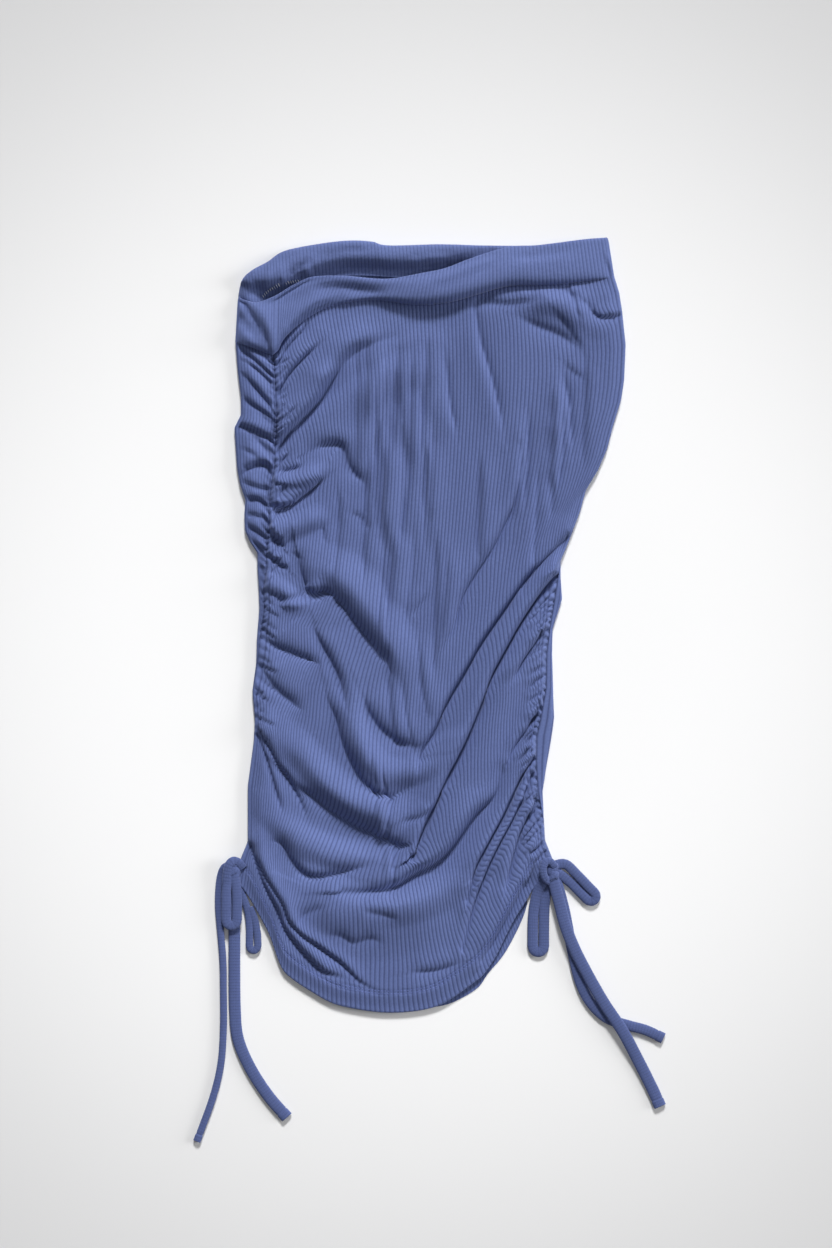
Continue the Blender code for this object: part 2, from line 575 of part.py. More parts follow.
def back_panel_points(frames):
    """Outer and inner points of the back panel, from the right seam round to the left one."""
    shares = np.linspace(0.0, 1.0, BACK_FLAT_STEPS + 1)
    top = place(along(BACK_TOP, shares))
    hem = place(along(BACK_HEM, shares))
    outer = []
    inner = []
    from_fold = []
    for row, frame in enumerate(frames):
        radius = frame["radius"]
        quarter = math.pi * radius / 2
        depth = row / (FRONT_ROWS - 1)
        fold_up = frame["left"][1] + frame["left_fold_rise"]
        flat = top * (1 - depth) + hem * depth
        left_miss = np.array([frame["left"][0] + radius, fold_up]) - flat[0]
        right_miss = np.array([frame["right"][0] - radius, frame["right"][1]]) - flat[-1]
        flat = flat + left_miss * (1 - shares[:, None]) + right_miss * shares[:, None]
        right_end = seam_path(frame["right_wrap"], radius) - SEAM_GAP / 2
        left_end = seam_path(frame["left_wrap"], radius) - SEAM_GAP / 2
        right = edge_section(np.linspace(right_end, -quarter, RIGHT_STEPS + 1), radius)
        left = edge_section(left_paths_of(left_end, quarter), radius)
        slope = frame["left_fold_rise"] / max(frame["left_wrap"], 1.0)
        on_arc = np.arange(len(left[0])) > 0
        left_up = fold_up - slope * left[0] * on_arc
        points = np.vstack([
            np.stack([
                frame["right"][0] - right[0],
                np.full(RIGHT_STEPS + 1, frame["right"][1]),
                right[1],
            ], -1),
            np.column_stack([flat[-2:0:-1], np.zeros(BACK_FLAT_STEPS - 1)]),
            np.stack([frame["left"][0] + left[0], left_up, left[1]], -1),
        ])
        outward = np.zeros_like(points)
        outward[:, 2] = -1.0
        outward[:RIGHT_STEPS + 1, 0] = -right[2]
        outward[:RIGHT_STEPS + 1, 2] = right[3]
        outward[-len(left[0]):, 0] = left[2]
        outward[-len(left[0]):, 2] = left[3]
        outer.append(points)
        inner.append(points - PANEL_WALL * outward)
        from_fold.append(left[0][-LEFT_TOP_STEPS:])
    outer, inner, from_fold = (closer_rows(grid) for grid in (outer, inner, from_fold))
    wrapped = slice(-LEFT_TOP_STEPS, None)
    gathers = fold_heights(LEFT_GATHERS, outer[:, wrapped]) + GATHER_RISE
    gathers = np.maximum(gathers, -GATHER_DEPTH) * ramp(from_fold, EDGE_RADIUS, GATHER_FULL)
    outer[:, wrapped, 2] += gathers
    inner[:, wrapped, 2] += gathers
    return outer, inner


def waistband_points(front, back, frame):
    """Outer and inner points of the band, a ring round the top edges of both panels."""
    radius = frame["radius"]
    arc = LEFT_ARC_STEPS + 1
    turn = -LEFT_ARC_STEPS - LEFT_TOP_STEPS - 1
    bottom = back[0, RIGHT_STEPS:turn + 1]
    under_shares = np.linspace(0.0, 1.0, BAND_UNDER_STEPS + 1)[1:-1]
    corners = under_shares * BACK_FLAT_STEPS
    under = np.stack([
        np.interp(corners, np.arange(len(bottom)), bottom[:, k]) for k in range(3)
    ], -1)
    ring = np.vstack([back[0, turn:], front[0], back[0, :RIGHT_STEPS + 1], under])
    left_fold = place(BAND_LEFT_CORNER)
    right_fold = place(BAND_RIGHT_CORNER)
    front_last = -turn + len(front[0]) - len(EDGE_STEPS)
    right_last = -turn + len(front[0]) + RIGHT_STEPS
    over = np.arange(arc - 1, front_last + 1)
    lengths = np.linalg.norm(np.diff(ring[over, :2], axis=0), axis=1)
    travelled = np.concatenate([[0.0], np.cumsum(lengths)]) + radius
    run = along(BAND_FRONT_TOP, travelled / (travelled[-1] + math.pi * radius / 2))
    tops = np.zeros((len(ring), 2))
    rolls = np.zeros(len(ring))
    middles = np.zeros(len(ring))
    tops[over] = place(run[:, :2])
    rolls[over] = run[:, 2]
    middles[over] = run[:, 3]
    left_x = ring[1:arc, 0].min()
    for column in range(arc - 1):
        tops[column] = left_fold + (ring[column, 0] - left_x, 0.0)
    right_x = ring[front_last:right_last + 1, 0].max()
    for column in range(front_last + 1, right_last + 1):
        tops[column] = right_fold + (ring[column, 0] - right_x, 0.0)
    tops[right_last + 1:] = place(along(BAND_BACK_TOP, under_shares))
    outward = np.zeros_like(ring)
    outward[:, 2] = 1.0
    outward[right_last:, 2] = -1.0
    outward[0, 2] = -1.0
    for columns, fold_x, side in (
        (range(0, arc), left_x, 1), (range(front_last + 1, right_last + 1), right_x, -1),
    ):
        for column in columns:
            turned = 1 - min(side * (ring[column, 0] - fold_x) / radius, 1.0)
            outward[column, 0] = -side * turned
            rise = math.sqrt(max(1 - turned * turned, 0.0))
            outward[column, 2] = math.copysign(rise, ring[column, 2] - radius)
    outer = np.zeros((len(BAND_LEVELS), len(ring), 3))
    reach = tops - ring[:, :2]
    edge = np.roll(ring[:, :2], -1, axis=0) - np.roll(ring[:, :2], 1, axis=0)
    lift = np.stack([-edge[:, 1], edge[:, 0]], -1) / np.linalg.norm(edge, axis=1)[:, None]
    lift *= np.sign(np.sum(lift * reach, axis=1))[:, None]
    lift[:arc] = (0.0, 1.0)
    lift[front_last:right_last + 1] = (0.0, 1.0)
    for level, (share, roll_share, middle_share, drop) in enumerate(BAND_LEVELS):
        outer[level, :, :2] = ring[:, :2] + lift * SEAM_GAP + (reach - lift * SEAM_GAP) * share
        outer[level, :, 2] = ring[:, 2]
        rise = rolls * roll_share + middles * middle_share - drop
        outer[level, over, 2] += rise[over]
    inner = outer - BAND_WALL * outward
    return outer[::-1], inner[::-1]


def wall_mesh(name, outer, inner, ring=False):
    """Mesh of a closed wall between an outer grid and an inner grid with fewer columns."""
    shape = bmesh.new()
    outer_verts = [[shape.verts.new(spot * METRES) for spot in row] for row in outer]
    inner_verts = [[shape.verts.new(spot * METRES) for spot in row] for row in inner]
    outer_spans = outer.shape[1] - (0 if ring else 1)
    inner_spans = inner.shape[1] - (0 if ring else 1)
    step = outer_spans // inner_spans
    rows = len(outer)
    for row in range(rows - 1):
        for left in range(outer_spans):
            right = (left + 1) % outer.shape[1]
            upper, lower = outer_verts[row], outer_verts[row + 1]
            shape.faces.new((upper[left], lower[left], lower[right], upper[right]))
        for left in range(inner_spans):
            right = (left + 1) % inner.shape[1]
            upper, lower = inner_verts[row], inner_verts[row + 1]
            shape.faces.new((upper[right], lower[right], lower[left], upper[left]))
        if not ring:
            for side in (0, -1):
                edge = (outer_verts[row][side], outer_verts[row + 1][side],
                        inner_verts[row + 1][side], inner_verts[row][side])
                shape.faces.new(edge if side else edge[::-1])
    for row in (0, -1):
        for left in range(inner_spans):
            right = (left + 1) % inner.shape[1]
            rim = [outer_verts[row][(left * step + k) % outer.shape[1]] for k in range(step + 1)]
            rim += [inner_verts[row][right], inner_verts[row][left]]
            shape.faces.new(rim if row else rim[::-1])
    bmesh.ops.triangulate(shape, faces=shape.faces[:])
    bmesh.ops.recalc_face_normals(shape, faces=shape.faces)
    mesh = bpy.data.meshes.new(name)
    shape.to_mesh(mesh)
    shape.free()
    return mesh


def cloth_material(name):
    """Plain matt jersey colour."""
    material = bpy.data.materials.new(name)
    material.use_nodes = True
    shader = material.node_tree.nodes["Principled BSDF"]
    shader.inputs["Base Color"].default_value = CLOTH
    shader.inputs["Roughness"].default_value = 0.85
    shader.inputs["Metallic"].default_value = 0.0
    return material


def add_object(name, data, collection):
    """Object of a sub-part with its own material, in the skirt's collection."""
    data.materials.append(cloth_material(name))
    item = bpy.data.objects.new(name, data)
    collection.objects.link(item)
    return item


def add_tie(name, width, route, collection):
    """Flat strip of the drawstring: a round tube along its route, flattened in height."""
    flatness = TIE_THICKNESS / width
    spots = place(route)
    run = smooth_run(spots, 2)
    tie = bpy.data.curves.new(name, "CURVE")
    tie.dimensions = "3D"
    tie.bevel_depth = width / 2 * METRES
    tie.bevel_resolution = 2
    tie.use_fill_caps = True
    spline = tie.splines.new("POLY")
    spline.points.add(len(run) - 1)
    for point, (across, up, height) in zip(spline.points, run):
        point.co = (across * METRES, up * METRES, height / flatness * METRES, 1.0)
    item = add_object(name, tie, collection)
    item.scale = (1.0, 1.0, flatness)


def add_knot(name, across, down, half_width, half_length, height, collection):
    """Knot of a bow: a rounded lump that rests on the floor."""
    shape = bmesh.new()
    bmesh.ops.create_uvsphere(shape, u_segments=12, v_segments=8, radius=1.0)
    spot = place((across, down))
    for vertex in shape.verts:
        x, y, z = vertex.co
        wrap = 1 + KNOT_LOBE_RISE * math.cos(KNOT_LOBES * math.atan2(y, x))
        vertex.co = (
            (spot[0] + x * half_width * wrap) * METRES,
            (spot[1] + y * half_length * wrap) * METRES,
            (height / 2 + z * (height / 2 - KNOT_CLEARANCE)) * METRES,
        )
    mesh = bpy.data.meshes.new(name)
    shape.to_mesh(mesh)
    shape.free()
    add_object(name, mesh, collection)


def main():
    """Builds every piece of the skirt."""
    for item in list(bpy.data.objects):
        bpy.data.objects.remove(item, do_unlink=True)
    collection = bpy.data.collections.new("ruched_skirt")
    bpy.context.scene.collection.children.link(collection)
    frames = row_frames()
    front_outer, front_inner = front_panel_points(frames)
    back_outer, back_inner = back_panel_points(frames)
    band_outer, band_inner = waistband_points(front_outer, back_outer, frames[0])
    add_object("front_panel", wall_mesh("front_panel", front_outer, front_inner), collection)
    add_object("back_panel", wall_mesh("back_panel", back_outer, back_inner), collection)
    band = wall_mesh("waistband", band_outer, band_inner, ring=True)
    add_object("waistband", band, collection)
    for name, width, route in TIES:
        add_tie(name, width, route, collection)
    for name, across, down, half_width, half_length, height in KNOTS:
        add_knot(name, across, down, half_width, half_length, height, collection)


main()
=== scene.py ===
# %% [markdown]
# # A ruched drawstring skirt, laid flat
# The skirt is a tube of fine rib knit, gathered down both sides by drawstrings that end in
# bows, and laid on a pale table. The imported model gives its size, place and collision. This
# script dresses it: cloth shells with real ribs, creases, stitches, soft ties and light.

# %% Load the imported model
import math

import bmesh
import bpy
import numpy as np
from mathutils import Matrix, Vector


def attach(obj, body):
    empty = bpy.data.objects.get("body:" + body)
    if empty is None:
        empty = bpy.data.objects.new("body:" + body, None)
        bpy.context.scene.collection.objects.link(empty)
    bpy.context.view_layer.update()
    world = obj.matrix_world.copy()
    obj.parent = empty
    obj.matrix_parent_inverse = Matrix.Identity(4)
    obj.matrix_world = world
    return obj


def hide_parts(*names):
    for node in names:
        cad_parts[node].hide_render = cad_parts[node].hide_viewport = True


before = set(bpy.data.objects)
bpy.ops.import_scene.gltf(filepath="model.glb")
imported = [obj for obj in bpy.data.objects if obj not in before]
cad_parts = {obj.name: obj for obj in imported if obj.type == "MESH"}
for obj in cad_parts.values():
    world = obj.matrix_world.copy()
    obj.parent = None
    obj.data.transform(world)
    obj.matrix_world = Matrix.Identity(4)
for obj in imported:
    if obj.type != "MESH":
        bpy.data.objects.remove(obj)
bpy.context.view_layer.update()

# %% [markdown]
# ## Where things are
# Outlines and creases were read off a straight-down view, so the tables count "across" and
# "down" in the units of that view. One unit is 0.92 mm on the skirt, which makes the waist
# 345 mm wide. Heights, reaches and thicknesses are millimetres. Blender works in metres.

# %% Scale and place
WAIST_WIDTH = 345.0
WAIST_IN_VIEW = 375.0
SCALE = WAIST_WIDTH / WAIST_IN_VIEW
VIEW_CENTRE = (423.65, 624.65)
METRES = 0.001


def place(points):
    """Positions in millimetres of points given as across and down in the flat view."""
    points = np.asarray(points, float)
    placed = points.copy()
    placed[..., 0] = (points[..., 0] - VIEW_CENTRE[0]) * SCALE
    placed[..., 1] = (VIEW_CENTRE[1] - points[..., 1]) * SCALE
    return placed


# %% Putting things in the scene
def add_object(name, data):
    """Object of some data, linked to the scene."""
    made = bpy.data.objects.new(name, data)
    bpy.context.scene.collection.objects.link(made)
    return made


# %% [markdown]
# ## The camera first
# A product photograph of flat clothing is taken straight down through a long lens, so the
# hem isn't larger than the waist. The frame is twice as wide as the skirt.

# %% Camera
FRAME_CENTRE = (416.0, 624.0)
FRAME_HEIGHT = 1248.0
LENS = 85.0
SENSOR = 36.0
FURTHEST_SEEN = 20.0


def add_camera():
    """Camera straight above the skirt that sees the frame's full height."""
    data = bpy.data.cameras.new("straight_down")
    data.lens = LENS
    data.sensor_width = SENSOR
    data.sensor_fit = "VERTICAL"
    data.sensor_height = SENSOR
    data.clip_end = FURTHEST_SEEN
    camera = add_object("straight_down", data)
    centre = place(FRAME_CENTRE) * METRES
    distance = FRAME_HEIGHT * SCALE * METRES * LENS / SENSOR
    camera.location = (centre[0], centre[1], distance)
    bpy.context.scene.camera = camera
    return camera


camera = add_camera()
print("camera height in metres:", round(camera.location.z, 3))

# %% [markdown]
# ## Curves and slopes
# Everything soft starts from a few given points with a smooth curve through them. A
# Catmull-Rom curve passes through its points, so a table can be read against the garment.

# %% Curves through points
def smooth_run(points, steps=12):
    """Points of a smooth curve through the given ones, steps to each stretch."""
    points = np.asarray(points, float)
    padded = np.vstack([2 * points[0] - points[1], points, 2 * points[-1] - points[-2]])
    share = np.linspace(0.0, 1.0, steps, endpoint=False)[:, None]
    run = []
    for before, start, end, after in zip(padded, padded[1:], padded[2:], padded[3:]):
        slope_in = (end - before) / 2
        slope_out = (after - start) / 2
        run.append(
            start * (1 + 2 * share) * (1 - share) ** 2 + end * share ** 2 * (3 - 2 * share)
            + slope_in * share * (1 - share) ** 2 - slope_out * share ** 2 * (1 - share)
        )
    return np.vstack(run + [points[-1:]])


def travelled_of(run):
    """Length of a run up to each of its points, seen from above."""
    lengths = np.linalg.norm(np.diff(run[:, :2], axis=0), axis=1)
    return np.concatenate([[0.0], np.cumsum(lengths)])


def along(points, shares, steps=12):
    """Points at the given shares of a curve's length."""
    run = smooth_run(points, steps)
    travelled = travelled_of(run)
    wanted = np.asarray(shares) * travelled[-1]
    return np.stack([np.interp(wanted, travelled, run[:, k]) for k in range(run.shape[1])], -1)


def unit(rows):
    """Vectors, one to a row, each brought to a length of one."""
    return rows / np.linalg.norm(rows, axis=1)[:, None]


def ramp(value, start, end):
    """Smooth rise from 0 at start to 1 at end."""
    share = np.clip((value - start) / (end - start), 0.0, 1.0)
    return share * share * (3 - 2 * share)


# %% [markdown]
# ## The skirt's outline
# The tube is laid so that its left seam lies on the front face in the upper half, and the
# back panel wraps round the left fold to meet it. On the right the seam is at the fold. The
# side tables give the fold and the seam, place by place down the skirt.

# %% Sides of the tube
LEFT_SIDE = [
    # down, fold across, seam across
    (339, 235.5, 272.0), (353, 236.5, 273.0), (372, 238.0, 275.0), (397, 241.0, 276.0),
    (415, 241.0, 277.0), (428, 234.5, 276.5), (450, 236.0, 275.0), (466, 237.0, 275.0),
    (484, 240.0, 271.5), (500, 245.5, 269.5), (515, 244.5, 270.0), (530, 245.0, 269.0),
    (541, 249.5, 268.0), (553, 257.5, 266.5), (567, 257.5, 267.0), (588, 259.0, 263.5),
    (608, 259.5, 264.5), (639, 257.0, 260.0), (662, 256.5, 257.5), (691, 252.5, 252.5),
    (719, 255.0, 255.0), (740, 254.0, 254.0), (785, 248.0, 248.0), (822, 248.0, 248.0),
    (841, 248.0, 248.0), (858, 241.0, 241.0), (882, 236.5, 236.5),
]
RIGHT_SIDE = [
    # down, fold across, seam across
    (273, 613.0, 613.0), (293, 619.0, 619.0), (312, 622.0, 622.0), (345, 625.5, 625.5),
    (380, 624.0, 624.0), (400, 621.0, 621.0), (426, 613.0, 613.0), (449, 607.0, 607.0),
    (470, 598.0, 598.0), (490, 586.0, 586.0), (513, 579.5, 579.5), (547, 566.5, 566.5),
    (561, 560.5, 560.5), (577, 560.5, 558.0), (599, 562.0, 554.5), (629, 552.5, 549.5),
    (654, 552.0, 546.5), (688, 553.0, 546.0), (718, 554.0, 540.5), (736, 551.5, 536.5),
    (762, 547.0, 536.0), (791, 542.5, 538.0), (823, 544.0, 544.0), (840, 545.0, 545.0),
    (858, 552.0, 552.0),
]


def side_at(table, down, column):
    """Position across of a side's fold (1) or seam (2) at a place down the skirt."""
    rows = np.asarray(table, float)
    return np.interp(down, rows[:, 0], rows[:, column])


# %% Courses and edges
COURSES = [
    # across and down at the left seam, first quarter, middle, third quarter, right seam
    ((273, 353), (344, 304), (434, 303), (524, 287), (613, 276)),
    ((276, 392), (352, 364), (437, 370), (527, 366), (625, 335)),
    ((275, 440), (353, 428), (436, 440), (521, 440), (618, 395)),
    ((271, 487), (350, 497), (432, 515), (511, 515), (603, 450)),
    ((268, 535), (343, 558), (426, 592), (500, 592), (583, 503)),
    ((266, 580), (336, 618), (420, 668), (487, 672), (563, 553)),
    ((261, 632), (328, 678), (412, 742), (477, 750), (553, 605)),
    ((255, 690), (321, 740), (405, 806), (472, 825), (547, 660)),
    ((251, 750), (310, 806), (396, 862), (472, 876), (541, 720)),
    ((248, 800), (300, 864), (390, 915), (477, 914), (538, 775)),
    ((247, 843), (291, 914), (384, 963), (482, 946), (544, 825)),
    ((237, 881), (278, 958), (370, 1009), (478, 978), (551, 859)),
]
FRONT_TOP = [
    (273, 353), (280, 341), (291, 330), (305, 319), (321, 310), (340, 304), (374, 300),
    (416, 304), (446, 302), (469, 296), (507, 285), (538, 283), (568, 280.5), (613, 273),
]
FRONT_HEM = [
    (237, 881), (248, 896), (262, 920), (270, 936), (281, 965), (292, 977), (313, 991),
    (331, 1001), (348, 1006), (376, 1010.5), (400, 1011), (425, 1008), (445, 1001),
    (471, 983), (484, 972), (496, 954), (505, 936), (515, 917), (528, 897), (533, 888),
    (539, 880), (545, 866), (551, 859),
]
BACK_HEM = [
    (239, 883), (251, 901), (264, 924), (273, 944), (284, 968), (296, 980), (318, 994),
    (348, 1005), (376, 1009.5), (400, 1010.5), (418, 1010), (445, 1006), (462, 999),
    (479, 988), (489, 974), (504, 956), (516, 935), (525, 915), (528, 904), (529, 896),
    (533, 888), (539, 880), (545, 866), (551, 859),
]
BACK_TOP = [
    (236, 341), (244, 328), (256, 315), (270, 303), (290, 292), (318, 284), (350, 279),
    (440, 281), (540, 282), (590, 277), (613, 273),
]
COURSE_STEPS = 12


def course_grid(rows):
    """Five wales of the front panel, each with a point on every row."""
    table = np.array(COURSES, float)
    last = len(COURSES) - 1
    wanted = np.linspace(0.0, last, rows)
    stations = np.linspace(0, last, last * COURSE_STEPS + 1)
    wales = []
    for wale in range(table.shape[1]):
        run = smooth_run(table[:, wale], COURSE_STEPS)
        wales.append(np.stack([np.interp(wanted, stations, run[:, k]) for k in (0, 1)], -1))
    return np.stack(wales, 1)


def row_curve(points, shares):
    """Smooth course through its five wales, at shares across the panel."""
    run = smooth_run(points)
    stations = np.linspace(0.0, 1.0, len(run))
    return np.stack([np.interp(shares, stations, run[:, k]) for k in range(2)], -1)


# %% [markdown]
# ## Creases and swells
# Soft cloth laid on a table shows two kinds of relief. A crease is a narrow valley with a
# roll along one side, where the cloth above it tips over. A swell is a broad rise or hollow.
# Each one is a row in a table: how deep, how wide, how it fades at its two ends, and the
# route that it takes. Walking along the route, a lip with a reach above zero lies on the
# left hand, and one below zero on the right.

# %% Creases of the front panel
CREASES = [
    # name, depth, width, lip, lip reach, start, end, route
    ("band corner crease", 1.6, 2.6, 1.8, 5, 1.0, 0.3, [(276, 368), (291, 344), (302, 332),
                                                       (308, 321)]),
    ("pucker one", 2.0, 2.4, 1.6, 5, 1.0, 0.1, [(277, 396), (289, 376), (303, 360), (325, 340)]),
    ("pucker two", 1.4, 2.2, 1.0, 4, 1.0, 0.2, [(278, 424), (289, 415), (296, 409)]),
    ("main upper crease", 3.0, 4.0, 3.4, 9, 0.9, 0.0,
     [(276, 451), (292, 431), (302, 421), (319, 403), (327, 391), (335, 378), (344, 364)]),
    ("soft end of the upper crease", 1.3, 8.0, 1.2, 14, 0.0, 0.0,
     [(316, 406), (327, 391), (335, 378), (346, 362), (362, 350), (384, 340), (412, 334)]),
    ("trough turning down", 2.3, 6.0, 1.6, 9, 0.3, 0.1,
     [(310, 452), (324, 446), (341, 447), (349, 466), (357, 478), (368, 492)]),
    ("faint seam crease", 1.2, 2.8, 1.0, 5, 0.9, 0.1, [(279, 472), (292, 470), (304, 466)]),
    ("deep seam crease", 3.0, 4.0, 2.6, 8, 1.0, 0.1,
     [(270, 507), (286, 507), (306, 495), (328, 477)]),
    ("short seam crease", 1.2, 2.4, 0.8, 4, 1.0, 0.2, [(275, 484), (287, 487)]),
    ("short crease in the middle", 0.7, 4.6, 0.5, 8, 0.2, 0.1, [(350, 512), (361, 521),
                                                                (372, 531)]),
    ("upright mark one", 0.8, 2.6, 0.4, 5, 0.3, 0.2, [(338, 490), (339, 508), (338, 526)]),
    ("upright mark two", 0.8, 2.4, 0.4, 5, 0.3, 0.2, [(323, 526), (324, 535), (323, 543)]),
    ("pit at the seam", 2.2, 3.0, 1.6, 5, 1.0, 0.3, [(270, 533), (277, 540), (282, 546)]),
    ("crease below the pit", 2.0, 3.2, 1.6, 5, 1.0, 0.2, [(267, 556), (277, 562), (288, 569)]),
    ("left main drape", 2.9, 5.0, 2.6, 12, 0.4, 0.0,
     [(298, 556), (301, 572), (305, 586), (313, 593), (326, 594), (340, 604), (352, 620),
      (368, 641), (384, 661), (400, 678)]),
    ("spur of the left main drape", 1.6, 3.6, 1.0, 6, 0.8, 0.2, [(298, 588), (287, 595),
                                                                (276, 601)]),
    ("second drape", 2.3, 7.0, 1.6, 13, 0.3, 0.0,
     [(262, 621), (269, 640), (281, 648), (294, 654), (308, 657), (324, 659)]),
    ("third drape", 2.4, 5.0, 1.8, 9, 0.2, 0.0,
     [(312, 624), (320, 642), (331, 661), (341, 683), (350, 718)]),
    ("fourth drape", 2.0, 6.5, 1.4, 12, 0.5, 0.0, [(257, 659), (265, 673), (276, 688),
                                                  (290, 700), (308, 711)]),
    ("deep middle trough", 3.0, 6.5, 2.8, 13, 0.1, 0.0,
     [(323, 681), (328, 700), (336, 719), (341, 739), (347, 755), (357, 774), (368, 788),
      (383, 795), (400, 792), (421, 781)]),
    ("wide middle trough", 2.4, 8.0, 2.2, 14, 0.1, 0.2,
     [(360, 690), (370, 713), (383, 732), (402, 745), (421, 748)]),
    ("left twin crease one", 2.2, 2.8, 1.0, 4, 0.9, 0.0, [(258, 736), (266, 756), (272, 775),
                                                         (276, 793), (280, 816)]),
    ("left twin crease two", 2.8, 3.4, 1.4, 5, 0.9, 0.0, [(265, 738), (276, 760), (286, 776),
                                                         (293, 792), (301, 816)]),
    ("wide lower trough", 3.4, 7.5, 2.8, 14, 0.3, 0.0,
     [(284, 772), (296, 784), (312, 797), (330, 811), (352, 825), (376, 837), (400, 843),
      (418, 842)]),
    ("swag below the left knot", 2.4, 5.2, 1.9, 10, 0.0, 0.0,
     [(262, 840), (280, 843), (290, 858), (300, 870), (312, 876), (330, 875), (351, 868),
      (370, 857)]),
    ("small middle crease", 1.2, 4.0, 1.0, 7, 0.2, 0.2, [(397, 821), (420, 818), (433, 810)]),
    ("deep lower trough", 3.6, 5.5, 3.6, 11, 0.4, 0.3,
     [(338, 892), (360, 892), (387, 889), (406, 879), (419, 872), (438, 861), (455, 845),
      (476, 816), (494, 797), (503, 772)]),
    ("soft right crease", 2.2, 3.6, 2.0, -8, 0.2, 0.2,
     [(520, 446), (521, 472), (514, 505), (503, 528), (491, 551), (464, 594), (452, 629),
      (433, 662)]),
    ("high right crease", 3.0, 2.6, 2.6, -7, 0.5, 0.3,
     [(566, 538), (544, 560), (524, 583), (505, 610), (483, 642), (468, 668), (448, 702),
      (437, 726), (422, 751), (418, 766)]),
    ("sharp right crease", 3.8, 2.4, 3.0, -6, 0.9, 0.6,
     [(558, 575), (550, 581), (528, 612), (510, 643), (494, 673), (482, 704), (469, 735),
      (457, 760), (448, 777), (432, 813), (422, 834), (413, 853), (404, 858)]),
    ("crease at the right seam", 2.4, 2.6, 2.0, -6, 0.9, 0.1, [(541, 632), (533, 644),
                                                              (525, 657), (515, 676)]),
    ("faint crease in the middle", 0.8, 3.6, 0.5, -7, 0.2, 0.2, [(430, 593), (420, 605),
                                                                (410, 616)]),
    ("right twin crease one", 3.4, 2.2, 2.6, -6, 0.9, 0.3,
     [(534, 758), (521, 778), (506, 811), (489, 842), (476, 868), (467, 901)]),
    ("right twin crease two", 3.0, 2.0, 1.8, -4, 0.9, 0.3,
     [(533, 772), (517, 811), (499, 845), (484, 877), (474, 905), (462, 948)]),
    ("crease above the right knot", 2.6, 2.6, 2.2, -6, 0.9, 0.2, [(536, 800), (522, 829),
                                                                 (512, 861), (505, 888)]),
    ("crease beside the right knot", 3.0, 4.6, 2.2, -8, 0.5, 0.3, [(524, 886), (511, 912),
                                                                  (497, 936), (483, 960)]),
    ("long seam groove", 2.0, 2.6, 1.4, -5, 0.8, 0.2,
     [(545, 700), (531, 722), (519, 740), (509, 757)]),
    ("low crease", 1.2, 4.6, 0.8, 8, 0.2, 0.2, [(410, 972), (436, 970), (460, 962)]),
    ("crease under the band", 1.6, 5.0, 1.2, 9, 0.4, 0.3, [(478, 301), (508, 305), (540, 300)]),
    ("slanting hollow", 1.9, 8.0, 1.3, 13, 0.2, 0.1, [(517, 317), (538, 327), (561, 337),
                                                     (583, 354)]),
    ("thin crease beside the hollow", 0.7, 3.4, 0.6, 6, 0.3, 0.1, [(553, 311), (568, 330),
                                                                  (582, 351)]),
    ("upright fold one", 1.8, 4.2, 1.3, -8, 0.5, 0.1, [(475, 306), (481, 342), (490, 372),
                                                      (498, 404), (505, 440)]),
    ("upright fold two", 1.5, 4.0, 1.1, -8, 0.2, 0.1, [(445, 350), (449, 395), (457, 440)]),
    ("upright fold three", 1.5, 4.0, 1.1, -8, 0.2, 0.1, [(565, 378), (570, 411), (572, 454)]),
    ("upright fold four", 0.9, 3.6, 0.6, -7, 0.2, 0.1, [(552, 478), (552, 500), (549, 522)]),
    ("upright fold five", 1.2, 3.8, 0.9, -8, 0.2, 0.1, [(386, 362), (381, 420), (372, 470)]),
    ("upright fold six", 1.2, 3.6, 0.9, -7, 0.2, 0.1, [(404, 430), (408, 480), (402, 530)]),
    ("tuck under the right corner", 1.2, 3.0, 1.0, 5, 1.0, 0.2, [(572, 296), (575, 309),
                                                                (579, 320)]),
    ("tuck at the right fold", 1.6, 2.8, 1.2, 5, 0.3, 0.8, [(586, 304), (597, 317), (610, 318),
                                                           (622, 315)]),
    ("small mark", 0.6, 3.6, 0.5, 6, 0.3, 0.2, [(564, 364), (573, 373), (583, 382)]),
    ("hem line one", 3.0, 3.2, 2.4, 7, 0.9, 0.1,
     [(251, 846), (263, 882), (275, 906), (284, 927), (296, 944), (315, 965), (327, 973),
      (348, 979)]),
    ("hem line two", 2.4, 2.8, 1.4, 4, 0.8, 0.1,
     [(256, 858), (272, 886), (282, 903), (288, 918), (301, 933), (320, 947), (341, 963),
      (358, 980), (376, 990)]),
    ("soft wave one", 1.2, 7.5, 0.9, 12, 0.0, 0.0, [(292, 924), (306, 913), (328, 906)]),
    ("soft wave two", 1.2, 7.5, 0.9, 12, 0.0, 0.0, [(318, 934), (340, 935), (353, 942),
                                                  (371, 938), (387, 945)]),
    ("soft wave three", 1.2, 8.0, 0.8, 12, 0.0, 0.0, [(362, 910), (381, 913), (401, 919)]),
]
print("creases on the front:", len(CREASES))

